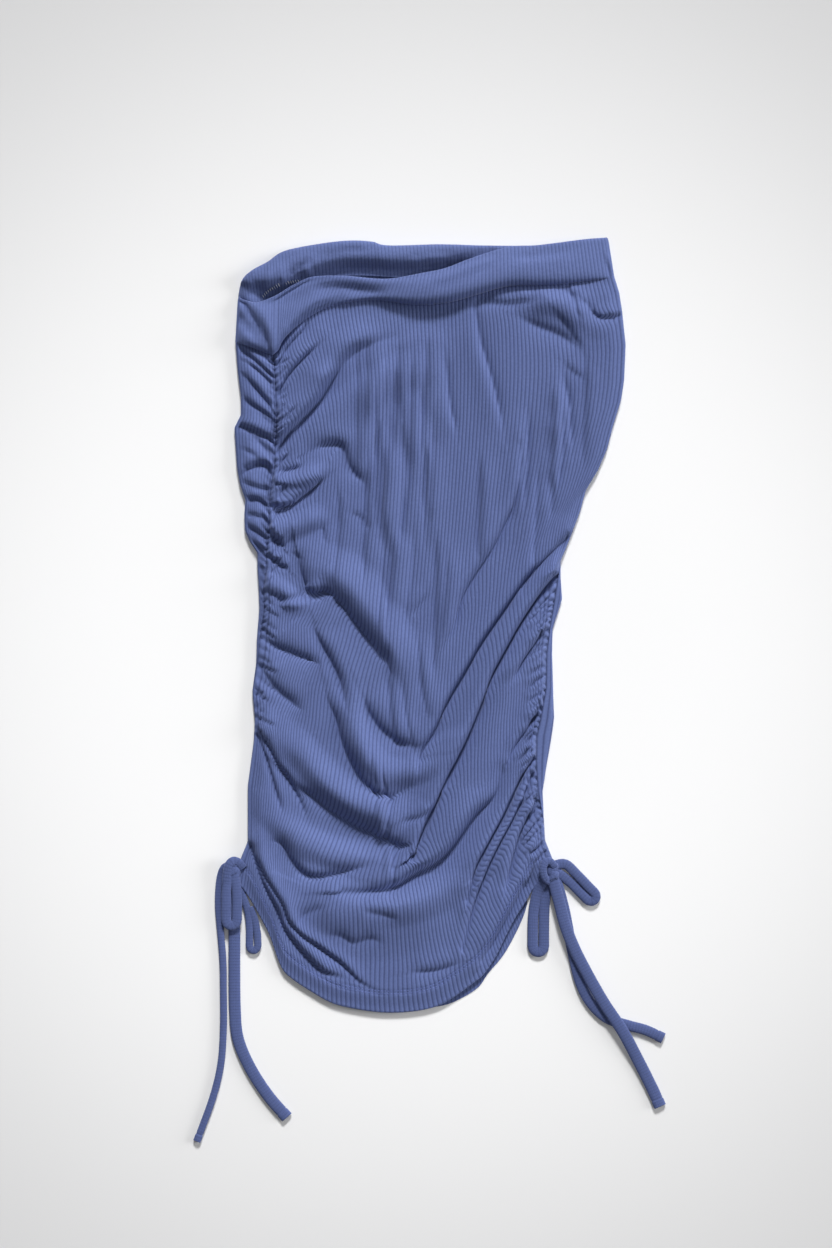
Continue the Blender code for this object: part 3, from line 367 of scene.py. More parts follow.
# %% Broad swells of the front panel
SWELLS = [
    # name, rise, left reach, right reach, start, end, route
    ("roll above the main crease", 1.6, 20, 12, 0.8, 0.2,
     [(290, 425), (304, 402), (322, 374), (350, 342), (396, 326)]),
    ("bulge below the main crease", 1.4, 18, 26, 0.2, 0.1,
     [(302, 445), (345, 404), (395, 374), (440, 352)]),
    ("hollow under the band", -1.3, 20, 22, 0.5, 0.5, [(338, 322), (400, 322), (460, 317)]),
    ("seam roll one", 1.8, 12, 12, 1.0, 0.1, [(276, 480), (300, 480), (330, 464)]),
    ("seam roll two", 2.2, 14, 14, 1.0, 0.1, [(271, 526), (296, 526), (330, 510)]),
    ("seam roll three", 1.8, 12, 12, 1.0, 0.1, [(266, 580), (282, 588), (298, 606)]),
    ("ridge over the left main drape", 2.2, 26, 16, 0.4, 0.1,
     [(310, 560), (345, 578), (372, 612), (398, 652), (424, 700)]),
    ("roll between the troughs", 2.0, 16, 16, 0.2, 0.3,
     [(344, 690), (360, 740), (388, 770), (424, 766), (450, 735)]),
    ("roll over the lower trough", 2.2, 22, 16, 0.5, 0.2,
     [(268, 724), (300, 752), (330, 782), (372, 808), (410, 818)]),
    ("floor of the lower trough", -1.4, 16, 16, 0.3, 0.2,
     [(300, 812), (330, 826), (370, 842), (410, 850)]),
    ("roll of the swag", 1.8, 18, 16, 0.2, 0.2,
     [(262, 802), (292, 832), (330, 852), (366, 848)]),
    ("roll below the deep trough", 1.8, 16, 22, 0.2, 0.2,
     [(330, 908), (400, 904), (450, 884), (486, 846), (514, 800)]),
    ("roll left of the long crease", 1.4, 18, 16, 0.8, 0.2,
     [(556, 560), (510, 625), (474, 692), (448, 752), (414, 828)]),
    ("roll right of the long crease", 1.6, 16, 22, 0.8, 0.3,
     [(546, 622), (516, 672), (488, 740), (456, 808), (424, 868)]),
    ("lobe under the right corner", 2.0, 14, 16, 0.4, 0.3, [(528, 300), (558, 304), (596, 326)]),
    ("belly over the hem", 2.8, 22, 52, 0.3, 0.3,
     [(306, 884), (345, 902), (400, 905), (455, 888)]),
]
print("swells of the front:", len(SWELLS))

# %% How far the big creases drag the ribs
SLIDES = {
    # crease: drag along it in mm, and how far to its side the ribs straighten in mm
    "sharp right crease": (19.0, 32.0),
    "high right crease": (13.0, 25.0),
    "soft right crease": (6.0, 24.0),
    "right twin crease one": (9.0, 16.0),
    "crease above the right knot": (7.0, 14.0),
    "left main drape": (15.0, -32.0),
    "second drape": (8.0, -26.0),
    "third drape": (9.0, -28.0),
    "fourth drape": (8.0, -28.0),
    "deep middle trough": (10.0, -34.0),
    "wide lower trough": (15.0, -42.0),
    "swag below the left knot": (9.0, -32.0),
    "deep seam crease": (7.0, 18.0),
}

# %% [markdown]
# ## Turning routes into relief
# For every point of the cloth the nearest place on a route gives a signed distance and how
# far along the route it is. A crease falls off from its line like a sheet bent over a wire,
# and its lip rises beside it. Only the points near a route are worked out, which keeps the
# whole panel to a few seconds.

# %% Relief from routes
# Share of a route over which a fold fades at its ends, and a crease's span in widths
FADE_SHARE = 0.3
CREASE_SPAN = 4.5
CREASE_STRENGTH = 1.9
SWELL_STRENGTH = 2.5
ROUTE_STEPS = 6
# How hard a crease pulls the ribs, and the width in mm above which it pulls them less
PULL = 0.9
NARROW = 3.4
# Share of a crease's own start that its drag has, and where the drag begins across it
SLIDE_START = 0.3
SLIDE_EDGE = (-0.02, 0.05)


def near_route(spots, route, reach):
    """Nearest spots to a route: their indices, signed distance, share and direction."""
    run = smooth_run(place(route), ROUTE_STEPS)
    low = run.min(0) - reach
    high = run.max(0) + reach
    inside = np.all((spots[:, :2] > low) & (spots[:, :2] < high), axis=1)
    chosen = np.nonzero(inside)[0]
    close = spots[chosen, :2]
    nearest = np.full(len(close), np.inf)
    signed = np.zeros(len(close))
    share = np.zeros(len(close))
    heading = np.zeros((len(close), 2))
    pieces = len(run) - 1
    for index in range(pieces):
        step = run[index + 1] - run[index]
        offset = close - run[index]
        part = np.clip(offset @ step / (step @ step), 0.0, 1.0)
        gap = offset - part[:, None] * step
        distance = np.hypot(gap[:, 0], gap[:, 1])
        closer = distance < nearest
        turn = np.sign(step[0] * gap[:, 1] - step[1] * gap[:, 0])
        nearest[closer] = distance[closer]
        signed[closer] = (turn * distance)[closer]
        share[closer] = ((index + part) / pieces)[closer]
        heading[closer] = step / np.linalg.norm(step)
    return chosen, signed, share, heading


def fade(share, start, end):
    """Strength of a fold along its route, with what is left of it at the two ends."""
    strength = start + (1 - start) * ramp(share, 0.0, FADE_SHARE)
    return strength * (end + (1 - end) * ramp(1 - share, 0.0, FADE_SHARE))


def add_swells(spots, swells):
    """Heights of broad swells at the spots."""
    heights = np.zeros(len(spots))
    for _name, rise, left_reach, right_reach, start, end, route in swells:
        reach = max(left_reach, right_reach)
        chosen, signed, share, _heading = near_route(spots, route, reach)
        part = np.abs(signed) / np.where(signed >= 0, left_reach, right_reach)
        bell = np.clip(1 - part ** 2, 0.0, 1.0) ** 2
        heights[chosen] += SWELL_STRENGTH * rise * bell * fade(share, start, end)
    return heights


def add_creases(spots, creases):
    """Heights of creases at the spots, and how far they drag the ribs sideways."""
    heights = np.zeros(len(spots))
    shift = np.zeros((len(spots), 2))
    for name, depth, width, lip, lip_reach, start, end, route in creases:
        span = CREASE_SPAN * max(width, abs(lip_reach))
        drag, drag_reach = SLIDES.get(name, (0.0, 1.0))
        reach = max(span, abs(drag_reach))
        chosen, signed, share, heading = near_route(spots, route, reach)
        window = np.clip(1 - (signed / span) ** 2, 0.0, 1.0) ** 2
        valley = np.exp(-np.abs(signed) / width)
        beside = np.clip(signed / lip_reach, 0.0, None)
        roll = beside * np.exp(1 - beside)
        strength = CREASE_STRENGTH * fade(share, start, end) * window
        heights[chosen] += (lip * roll - depth * valley) * strength
        pull = PULL * depth * min(1.0, NARROW / width) * (signed / width)
        pull = pull * np.exp(1 - np.abs(signed) / width)
        part = signed / drag_reach
        slid = drag * ramp(part, *SLIDE_EDGE) * np.clip(1 - part, 0.0, 1.0)
        slid = slid * fade(share, SLIDE_START * start, 0.0)
        shift[chosen] += heading * (pull * strength + slid)[:, None]
    return heights, shift


# %% [markdown]
# ## Small gathers at the channels
# Where the drawstring shortens a seam, the cloth beside it stands in many small gathers.
# They are too many to place one by one, so they come from a seeded draw: a spacing, a
# length, a slant and a depth each, uneven within the limits that the real ones keep.

# %% Gathers along a seam
LEFT_GATHERS_AT = [
    # first down, last down, spacing, length, depth, slant
    (360, 590, 7.5, 15, 0.9, 0.9),
    (590, 732, 10.0, 18, 0.8, -0.6),
]
RIGHT_GATHERS_AT = [
    # first down, last down, spacing, length, depth, slant
    (566, 850, 7.0, 17, 1.0, -0.9),
]
GATHER_SEED = 7
GATHER_WIDTH = 1.8
GATHER_LIP = 0.8
GATHER_LIP_REACH = 3.4
GATHER_ENDS = (1.0, 0.1)
# Least and most that a gather has of its row's length, drop, bend, depth and spacing
LENGTH_DRAW = (0.5, 1.3)
DROP_DRAW = (0.6, 1.3)
BEND_DRAW = (-1.5, 1.5)
DEPTH_DRAW = (0.5, 1.3)
SPACING_DRAW = (0.7, 1.3)


def seam_gathers(name, stretches, table, inward, seed):
    """Rows of small creases that run from a seam into the panel."""
    draw = np.random.default_rng(seed)
    rows = []
    for first, last, spacing, length, depth, slant in stretches:
        down = first
        while down < last:
            across = side_at(table, down, 2)
            reach = length * draw.uniform(*LENGTH_DRAW)
            drop = -slant * reach * draw.uniform(*DROP_DRAW)
            bend = draw.uniform(*BEND_DRAW)
            route = [
                (across, down),
                (across + inward * reach * 0.5, down + drop * 0.5 + bend),
                (across + inward * reach, down + drop),
            ]
            strong = depth * draw.uniform(*DEPTH_DRAW)
            rows.append((name, strong, GATHER_WIDTH, strong * GATHER_LIP,
                         GATHER_LIP_REACH * inward, *GATHER_ENDS, route))
            down += spacing * draw.uniform(*SPACING_DRAW)
    return rows


# %% [markdown]
# ## Soft upright folds
# Where the cloth lies slack it also stands in long shallow folds that run with the ribs.
# They come from seeded draws too, a few to each patch of the panel.

# %% Soft upright folds
SOFT_FOLDS = [
    # first across, last across, first down, last down, number, sideways drift
    (345, 590, 330, 400, 15, -4),
    (350, 585, 400, 470, 12, -8),
    (340, 460, 490, 560, 7, -10),
    (350, 420, 620, 760, 6, 14),
]
SOFT_SEED = 11
SOFT_LENGTHS = (80, 170)
SOFT_LEANS = (0.2, 1.6)
SOFT_DEPTHS = (0.7, 1.5)
SOFT_WIDTHS = (2.6, 4.6)
SOFT_BOW = 0.3
SOFT_LIP = 0.9
SOFT_LIP_REACH = 7.0


def soft_folds(stretches, seed):
    """Long shallow folds that run with the ribs where the cloth lies slack."""
    draw = np.random.default_rng(seed)
    rows = []
    for first, last, top, bottom, number, drift in stretches:
        for _index in range(number):
            across = draw.uniform(first, last)
            down = draw.uniform(top, bottom)
            length = draw.uniform(*SOFT_LENGTHS)
            lean = drift * draw.uniform(*SOFT_LEANS)
            depth = draw.uniform(*SOFT_DEPTHS)
            side = draw.choice((-1, 1))
            route = [
                (across, down),
                (across + lean * SOFT_BOW, down + length / 2),
                (across + lean, down + length),
            ]
            rows.append(("soft", depth, draw.uniform(*SOFT_WIDTHS), depth * SOFT_LIP,
                         SOFT_LIP_REACH * side, 0.0, 0.0, route))
    return rows


upright = soft_folds(SOFT_FOLDS, SOFT_SEED)
left_small = seam_gathers("left", LEFT_GATHERS_AT, LEFT_SIDE, 1, GATHER_SEED)
right_small = seam_gathers("right", RIGHT_GATHERS_AT, RIGHT_SIDE, -1, GATHER_SEED + 1)
print("small gathers:", len(left_small), "left,", len(right_small), "right")
print("soft upright folds:", len(upright))

# %% [markdown]
# ## The seams themselves
# Each gathered seam is a sunk line with the cloth puckered on both sides of it. The puckers
# slant down to the seam from either side, like the strands of a rope.

# %% Relief of a gathered seam
# First and last place down each side where the seam is gathered
LEFT_GATHERED = (348, 742)
RIGHT_GATHERED = (556, 862)
GATHER_FADE = 12
SEAM_DIP = 0.9
SEAM_HALF_WIDTH = 1.6
SEAM_CALM = 3.6
WRAP_OPENS = (1.5, 8.0)
PUCKER_RISE = 1.75
PUCKER_PITCH = 6.3
PUCKER_REACH = 6.5
PUCKER_SLANT = 0.9
SEAM_WAVES = [
    # size in mm, length in mm and start of the waves that shift the puckers
    (1.9, 9.0, 0.0),
    (1.2, 5.3, 1.0),
]
# The same three measures of the wave that makes some puckers taller
PUCKER_WAVE = (0.3, 13.0, 2.0)


def waves(down, size, length, start):
    """A slow wave along a seam."""
    return size * np.sin(down / length + start)


def side_lines(spots, table):
    """Distance of spots from a side's seam, how open the wrap is there, and their down."""
    down = VIEW_CENTRE[1] - spots[:, 1] / SCALE
    fold = side_at(table, down, 1)
    seam = side_at(table, down, 2)
    distance = spots[:, 0] - (seam - VIEW_CENTRE[0]) * SCALE
    return distance, ramp(np.abs(seam - fold) * SCALE, *WRAP_OPENS), down * SCALE


def seam_relief(spots, table, first, last):
    """Share of other relief that is kept near a seam, and the seam's own relief."""
    distance, opened, down = side_lines(spots, table)
    near = np.exp(-(distance / SEAM_HALF_WIDTH) ** 2)
    keep = 1 - opened * (1 - ramp(np.abs(distance), 0.0, SEAM_CALM))
    wobble = sum(waves(down, *row) for row in SEAM_WAVES)
    turns = (down + PUCKER_SLANT * np.abs(distance) + wobble) / PUCKER_PITCH
    uneven = 1 - PUCKER_WAVE[0] + waves(down, *PUCKER_WAVE)
    puckers = np.cos(2 * math.pi * turns) * np.exp(-(distance / PUCKER_REACH) ** 2) * uneven
    between = ramp(down, first * SCALE, (first + GATHER_FADE) * SCALE)
    between = between * (1 - ramp(down, (last - GATHER_FADE) * SCALE, last * SCALE))
    return keep, (PUCKER_RISE * puckers - SEAM_DIP * near * opened) * between


# %% [markdown]
# ## A cloth shell from a grid
# A knitted panel is a grid already: wales run down it and courses across. So each shell is
# one grid of points, and the ribs are real relief, three columns to a rib. Every point also
# keeps its place in the knit as an attribute, which the material reads for the stitches.

# %% Grid to mesh
def grid_piece(name, grid, knit, ring=False):
    """Smooth-shaded mesh of a grid of points in millimetres."""
    rows, columns = grid.shape[:2]
    index = np.arange(rows * columns).reshape(rows, columns)
    right = np.roll(index, -1, axis=1)
    if not ring:
        index, right = index[:, :-1], right[:, :-1]
    quads = np.stack([index[:-1], index[1:], right[1:], right[:-1]], -1).reshape(-1, 4)
    mesh = bpy.data.meshes.new(name)
    mesh.from_pydata((grid.reshape(-1, 3) * METRES).tolist(), [], quads.tolist())
    mesh.shade_smooth()
    store = mesh.attributes.new("knit", "FLOAT_VECTOR", "POINT")
    store.data.foreach_set("vector", knit.reshape(-1).astype(np.float32))
    mesh.validate()
    print(name, "has", len(quads) * 2, "triangles")
    return add_object(name, mesh)


# %% [markdown]
# ## The folded edge
# At a side the cloth turns through half a circle from the lower layer to the upper one. A
# point's path length from the outermost line of the fold says where on that turn it is.

# %% Turn of the fold
EDGE_RADIUS = 2.6
SEAM_GAP = 0.15


def edge_section(path, radius):
    """Distance in from the fold and height at a path length."""
    quarter = math.pi * radius / 2
    angle = np.clip(path, -quarter, quarter) / radius
    beyond = np.maximum(np.abs(path) - quarter, 0.0)
    inward = radius * (1 - np.cos(angle)) + beyond
    height = radius * (1 + np.sin(angle))
    return inward, height


def seam_path(wrap, radius):
    """Path length from the fold up to a seam that lies wrap millimetres in from it."""
    if wrap <= 0:
        return 0.0
    if wrap < radius:
        return radius * math.acos((radius - wrap) / radius)
    return math.pi * radius / 2 + wrap - radius


# %% The two folds of each row
# A row runs down from the left fold to the seam, so its fold lies this share of the
# wrap further up
LEFT_TILT = 0.35
HEM_RADIUS = 2.05
HEM_ROWS_SHARE = 0.12


def row_frames(rows):
    """The two folds and seams of each row, and the radius of its edges."""
    courses = course_grid(rows)
    shares = np.linspace(1.0, 0.0, rows)
    radii = HEM_RADIUS + (EDGE_RADIUS - HEM_RADIUS) * ramp(shares, 0, HEM_ROWS_SHARE)
    frames = []
    for row in range(rows):
        left_down = courses[row, 0, 1]
        right_down = courses[row, -1, 1]
        wrap = side_at(LEFT_SIDE, left_down, 2) - side_at(LEFT_SIDE, left_down, 1)
        left_fold = side_at(LEFT_SIDE, left_down - LEFT_TILT * wrap, 1)
        right_fold = side_at(RIGHT_SIDE, right_down, 1)
        frames.append({
            "radius": radii[row],
            "left": place((left_fold, left_down)),
            "left_fold_rise": LEFT_TILT * wrap * SCALE,
            "left_wrap": (side_at(LEFT_SIDE, left_down, 2) - left_fold) * SCALE,
            "right": place((right_fold, right_down)),
            "right_wrap": (right_fold - side_at(RIGHT_SIDE, right_down, 2)) * SCALE,
        })
    return frames


# %% [markdown]
# ## Front panel
# The front lies loosely on the back: it turns down to the seams at the sides, stands a
# little off the table in between, and carries the creases. The real knit has about a hundred
# ribs here, and 92 are modelled, so that the panel keeps within its triangles. Along the hem
# the edge is turned under and held by two rows of stitching, which press two shallow grooves
# into the cloth.

# %% Front panel grid
RIBS = 92
RIB_STEPS = (0.0, 0.3, 0.7)
RIB_PROFILE = (-0.2, 0.14, 0.14)
FRONT_ROWS = 336
EDGE_STEPS = (0.0, 1.1, 2.3, 3.6, 5.2)
BODY = slice(len(EDGE_STEPS) - 1, 1 - len(EDGE_STEPS))
BODY_RISE = 2.4
LOWEST_TOP = 2.4
LOWEST_SIDE = 0.6
FLOOR_SOFTNESS = 0.8
END_PULL = 8
SIDE_PULL = 6
STEEPEST_SIDE = 0.8
HEM_GROOVES = (16.8, 19.4)
GROOVE_DEPTH = 0.9
GROOVE_WIDTH = 0.7
# Where something begins and is whole, in mm from the sides, the hem and the top
RISE_AT_SIDE = (EDGE_RADIUS, 13.0)
RISE_AT_HEM = (1.0, 18.0)
RISE_AT_TOP = (2.0, 20.0)
RELIEF_AT_SIDE = (-2.0, 5.0)
RELIEF_AT_HEM = (0.0, 10.0)
RELIEF_AT_TOP = (0.0, 8.0)
DRAG_AT_SEAM = (0.0, 14.0)
DRAG_AT_END = (4.0, 30.0)
UPPER_AT_SIDE = (EDGE_RADIUS - 1.0, EDGE_RADIUS + 3.0)
HEM_TURN = [
    # out past the edge, drop, both in millimetres
    (0.7, 0.5), (0.9, 1.2), (0.4, 1.8), (-3.0, 2.1),
]


def rib_columns(ribs):
    """Column positions in ribs, and the height of the rib profile at each."""
    positions = (np.arange(ribs)[:, None] + np.array(RIB_STEPS)).reshape(-1)
    heights = np.tile(RIB_PROFILE, ribs)
    return np.append(positions, ribs), np.append(heights, RIB_PROFILE[0])


def soft_floor(height, floor):
    """Heights that settle on a floor instead of passing through it."""
    over = (height - floor) / FLOOR_SOFTNESS
    return floor + FLOOR_SOFTNESS * np.logaddexp(0.0, over)


def front_sides(frame_row, curve):
    """The rolled edges of one row of the front, as points with their distance inside."""
    sides = []
    for side, fold, wrap, step in (
        (1, frame_row["left"], frame_row["left_wrap"], curve[1] - curve[0]),
        (-1, frame_row["right"], frame_row["right_wrap"], curve[-1] - curve[-2]),
    ):
        radius = frame_row["radius"]
        path = seam_path(wrap, radius) + SEAM_GAP / 2 + np.array(EDGE_STEPS)
        inward, height = edge_section(path, radius)
        slope = np.clip(step[1] / abs(step[0]), -STEEPEST_SIDE, STEEPEST_SIDE)
        across = fold[0] + side * inward
        up = fold[1] + side * slope * (inward - inward[0])
        sides.append((np.stack([across, up, height], -1), inward))
    return sides


def front_plain():
    """The front without relief, and how far each of its points is inside the fold."""
    frames = row_frames(FRONT_ROWS)
    courses = course_grid(FRONT_ROWS)
    positions, _heights = rib_columns(RIBS)
    shares = positions / RIBS
    edges = len(EDGE_STEPS)
    columns = len(positions) + 2 * (edges - 1)
    top = place(along(FRONT_TOP, shares))
    hem = place(along(FRONT_HEM, shares))
    depth = np.linspace(0.0, 1.0, FRONT_ROWS)
    plain = np.zeros((FRONT_ROWS, columns, 3))
    inside = np.zeros((FRONT_ROWS, columns))
    first_row = place(row_curve(courses[0], shares))
    last_row = place(row_curve(courses[-1], shares))
    for row, frame_row in enumerate(frames):
        curve = place(row_curve(courses[row], shares))
        curve = curve + (1 - depth[row]) ** END_PULL * (top - first_row)
        curve = curve + depth[row] ** END_PULL * (hem - last_row)
        left, right = front_sides(frame_row, curve)
        body = curve + (1 - shares[:, None]) ** SIDE_PULL * (left[0][-1, :2] - curve[0])
        body = body + shares[:, None] ** SIDE_PULL * (right[0][-1, :2] - curve[-1])
        plain[row, :edges] = left[0]
        plain[row, -edges:] = right[0][::-1]
        plain[row, BODY, :2] = body
        plain[row, edges:-edges, 2] = 2 * frame_row["radius"]
        from_left = body[:, 0] - frame_row["left"][0]
        from_right = frame_row["right"][0] - body[:, 0]
        inside[row, BODY] = np.minimum(from_left, from_right)
        inside[row, :edges] = left[1]
        inside[row, -edges:] = right[1][::-1]
    return plain, inside


def front_grid():
    """The front panel's grid with its swells, creases, seams, grooves and ribs."""
    plain, inside = front_plain()
    rows, columns = plain.shape[:2]
    to_hem = np.linalg.norm(plain[:, :, :2] - plain[-1, :, :2], axis=2)
    to_top = np.linalg.norm(plain[:, :, :2] - plain[0, :, :2], axis=2)
    spots = plain.reshape(-1, 3)
    creases, shift = add_creases(spots, CREASES + left_small + right_small + upright)
    left_keep, left_seam = seam_relief(spots, LEFT_SIDE, *LEFT_GATHERED)
    right_keep, right_seam = seam_relief(spots, RIGHT_SIDE, *RIGHT_GATHERED)
    relief = (creases + add_swells(spots, SWELLS)) * left_keep * right_keep
    relief = (relief + left_seam + right_seam).reshape(rows, columns)
    loose = ramp(inside, *RISE_AT_SIDE) * ramp(to_hem, *RISE_AT_HEM) * ramp(to_top, *RISE_AT_TOP)
    gathered = ramp(inside, *RELIEF_AT_SIDE)
    gathered = gathered * ramp(to_hem, *RELIEF_AT_HEM) * ramp(to_top, *RELIEF_AT_TOP)
    plain[:, :, 2] += BODY_RISE * loose + relief * gathered
    on_top = ramp(inside, *UPPER_AT_SIDE)
    floor = LOWEST_TOP * on_top + LOWEST_SIDE * (1 - on_top)
    plain[:, :, 2] = soft_floor(plain[:, :, 2], floor)
    for groove in HEM_GROOVES:
        mark = np.exp(-((to_hem - groove) / GROOVE_WIDTH) ** 2)
        plain[:, :, 2] -= GROOVE_DEPTH * mark
    across = plain[:, :, 0]
    from_seam = np.minimum(across - across[:, :1], across[:, -1:] - across)
    free = ramp(from_seam, *DRAG_AT_SEAM)
    free = free * ramp(to_hem, *DRAG_AT_END) * ramp(to_top, *DRAG_AT_END)
    plain[:, :, :2] += shift.reshape(rows, columns, 2) * free[:, :, None]
    _positions, rib_heights = rib_columns(RIBS)
    plain[:, BODY, 2] += rib_heights
    return plain


def knit_places(grid, ribs_across):
    """Place in the knit of each point: ribs across, then millimetres down its wale."""
    steps = np.linalg.norm(np.diff(grid, axis=0), axis=2)
    down = np.concatenate([np.zeros((1, grid.shape[1])), np.cumsum(steps, axis=0)])
    across = np.broadcast_to(ribs_across, down.shape)
    return np.stack([across, down, np.zeros_like(down)], -1)


def turned_hem(grid):
    """Rows that take the hem's edge down and under."""
    edge = grid[-1]
    run = np.gradient(edge[:, :2], axis=0)
    out = unit(np.stack([run[:, 1], -run[:, 0]], -1))
    rows = []
    for reach, drop in HEM_TURN:
        row = edge.copy()
        row[:, :2] += out * reach
        row[:, 2] -= drop
        rows.append(row)
    return np.concatenate([grid, np.array(rows)])


front_points = front_grid()
edge_ribs = np.array(EDGE_STEPS[:-1]) / EDGE_STEPS[-1] - 1
front_ribs = np.concatenate([edge_ribs, rib_columns(RIBS)[0], RIBS - edge_ribs[::-1]])
front_turned = turned_hem(front_points)
front = grid_piece("front_shell", front_turned, knit_places(front_turned, front_ribs))
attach(front, "root")
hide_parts("front_panel")

# %% [markdown]
# ## Back panel
# The back is flat where it lies on the table, so its ribs there need only two columns each.
# It shows in front at the left, where it wraps round the fold up to the gathered seam, as a
# sliver along the right seam, and past the front's hem at the lower right.

# %% Creases of the wrapped strip
WRAP_CREASES = [
    # name, depth, width, lip, lip reach, start, end, route
    ("wrap 1", 1.6, 2.2, 1.2, 4, 0.3, 1.0, [(250, 337), (262, 346), (272, 354)]),
    ("wrap 2", 1.4, 2.0, 1.0, 4, 0.3, 1.0, [(250, 345), (262, 354), (271, 363)]),
    ("wrap 3", 2.0, 2.4, 1.6, 5, 0.5, 1.0, [(238, 347), (255, 361), (273, 377)]),
    ("wrap 4", 1.6, 2.2, 1.2, 4, 0.4, 1.0, [(246, 362), (259, 372), (271, 384)]),
    ("wrap 5", 2.0, 2.4, 1.6, 5, 0.4, 1.0, [(246, 377), (258, 391), (271, 407)]),
    ("wrap 6", 1.8, 2.4, 1.4, 5, 0.5, 1.0, [(243, 398), (256, 408), (271, 417)]),
    ("wrap 7", 1.4, 2.0, 1.0, 4, 0.5, 1.0, [(262, 416), (274, 425)]),
    ("wrap 8", 2.6, 3.0, 2.2, 6, 0.8, 1.0, [(237, 425), (255, 432), (273, 441)]),
    ("wrap 9", 1.6, 2.4, 1.2, 5, 0.5, 1.0, [(257, 439), (266, 449), (275, 459)]),
    ("wrap 10", 1.2, 2.2, 0.8, 4, 0.3, 0.5, [(245, 450), (256, 456)]),
    ("wrap 11", 2.8, 3.0, 2.0, 6, 0.7, 1.0, [(247, 470), (258, 465), (268, 467), (273, 477)]),
    ("wrap 12", 1.6, 2.4, 1.2, 5, 0.5, 1.0, [(245, 483), (258, 488), (271, 490)]),
    ("wrap 13", 2.0, 2.6, 1.4, 5, 0.7, 1.0, [(247, 500), (258, 500), (268, 507)]),
    ("wrap 14", 1.4, 2.2, 1.0, 4, 0.5, 1.0, [(246, 514), (257, 516), (268, 520)]),
    ("wrap 15", 2.0, 2.4, 1.4, 5, 0.6, 1.0, [(247, 526), (257, 532), (267, 539)]),
    ("wrap 16", 1.4, 2.2, 1.0, 4, 0.5, 1.0, [(253, 542), (260, 548), (266, 553)]),
    ("wrap 17", 1.2, 2.0, 0.8, 4, 0.5, 1.0, [(258, 566), (266, 572)]),
    ("wrap 18", 1.2, 2.0, 0.8, 4, 0.5, 1.0, [(259, 590), (264, 596)]),
]
print("creases of the wrapped strip:", len(WRAP_CREASES))

# %% Back panel grid
BACK_ROWS = 240
BACK_FLAT_RIBS = 104
RIGHT_ARC_STEPS = 8
LEFT_ARC_STEPS = 8
WRAP_RIBS = 11
WRAPPED = slice(-(WRAP_RIBS * len(RIB_STEPS)), None)
OPEN_WRAP = 10.0
UNDER_RIB = 0.25
RIBS_AT_SEAM = (EDGE_RADIUS + 1.0, EDGE_RADIUS + 8.0)


def left_path_of(end, quarter):
    """Path lengths of the columns that turn over the left fold and run to the seam."""
    over_steps = WRAP_RIBS * len(RIB_STEPS)
    even = np.linspace(-quarter, end, LEFT_ARC_STEPS + over_steps + 1)
    arc = np.linspace(-quarter, min(end, quarter), LEFT_ARC_STEPS + 1)
    over = np.linspace(arc[-1], end, over_steps + 1)[1:]
    share = ramp(end, quarter, quarter + OPEN_WRAP)
    return share * np.concatenate([arc, over]) + (1 - share) * even


def back_plain():
    """The back without relief, from the right seam round under to the left seam."""
    flat_steps = BACK_FLAT_RIBS * 2
    shares = np.linspace(0.0, 1.0, flat_steps + 1)
    top = place(along(BACK_TOP, shares))
    hem = place(along(BACK_HEM, shares))
    rows = []
    insides = []
    for row, frame_row in enumerate(row_frames(BACK_ROWS)):
        radius = frame_row["radius"]
        quarter = math.pi * radius / 2
        depth = row / (BACK_ROWS - 1)
        fold_up = frame_row["left"][1] + frame_row["left_fold_rise"]
        flat = top * (1 - depth) + hem * depth
        left_miss = np.array([frame_row["left"][0] + radius, fold_up]) - flat[0]
        right_miss = np.array([frame_row["right"][0] - radius, frame_row["right"][1]]) - flat[-1]
        flat = flat + left_miss * (1 - shares[:, None]) + right_miss * shares[:, None]
        right_end = seam_path(frame_row["right_wrap"], radius) - SEAM_GAP / 2
        left_end = seam_path(frame_row["left_wrap"], radius) - SEAM_GAP / 2
        right = edge_section(np.linspace(right_end, -quarter, RIGHT_ARC_STEPS + 1), radius)
        left = edge_section(left_path_of(left_end, quarter), radius)
        slope = frame_row["left_fold_rise"] / max(frame_row["left_wrap"], 1.0)
        left_up = fold_up - slope * left[0] * (np.arange(len(left[0])) > 0)
        under = np.column_stack([flat[-2:0:-1], np.zeros(flat_steps - 1)])
        under[1::2, 2] += UNDER_RIB
        rows.append(np.vstack([
            np.stack([
                frame_row["right"][0] - right[0],
                np.full(len(right[0]), frame_row["right"][1]),
                right[1],
            ], -1),
            under,
            np.stack([frame_row["left"][0] + left[0], left_up, left[1]], -1),
        ]))
        insides.append(left[0])
    return np.array(rows), np.array(insides)[:, WRAPPED]


def back_grid():
    """The back panel's grid with the creases, seam and ribs of its wrapped strip."""
    grid, inside = back_plain()
    spots = grid[:, WRAPPED].reshape(-1, 3)
    relief, _shift = add_creases(spots, WRAP_CREASES)
    keep, seam = seam_relief(spots, LEFT_SIDE, *LEFT_GATHERED)
    relief = (relief * keep + seam).reshape(inside.shape)
    to_top = np.linalg.norm(grid[:, WRAPPED, :2] - grid[0, WRAPPED, :2], axis=2)
    loose = ramp(inside, *RISE_AT_SIDE) * ramp(to_top, *RISE_AT_TOP)
    gathered = ramp(inside, *RELIEF_AT_SIDE) * ramp(to_top, *RELIEF_AT_TOP)
    raised = grid[:, WRAPPED, 2] + BODY_RISE * loose + relief * gathered
    grid[:, WRAPPED, 2] = soft_floor(raised, LOWEST_TOP)
    profile = np.tile(np.roll(RIB_PROFILE, -1), WRAP_RIBS)
    grid[:, WRAPPED, 2] += profile * ramp(inside[:, -1], *RIBS_AT_SEAM)[:, None]
    return grid


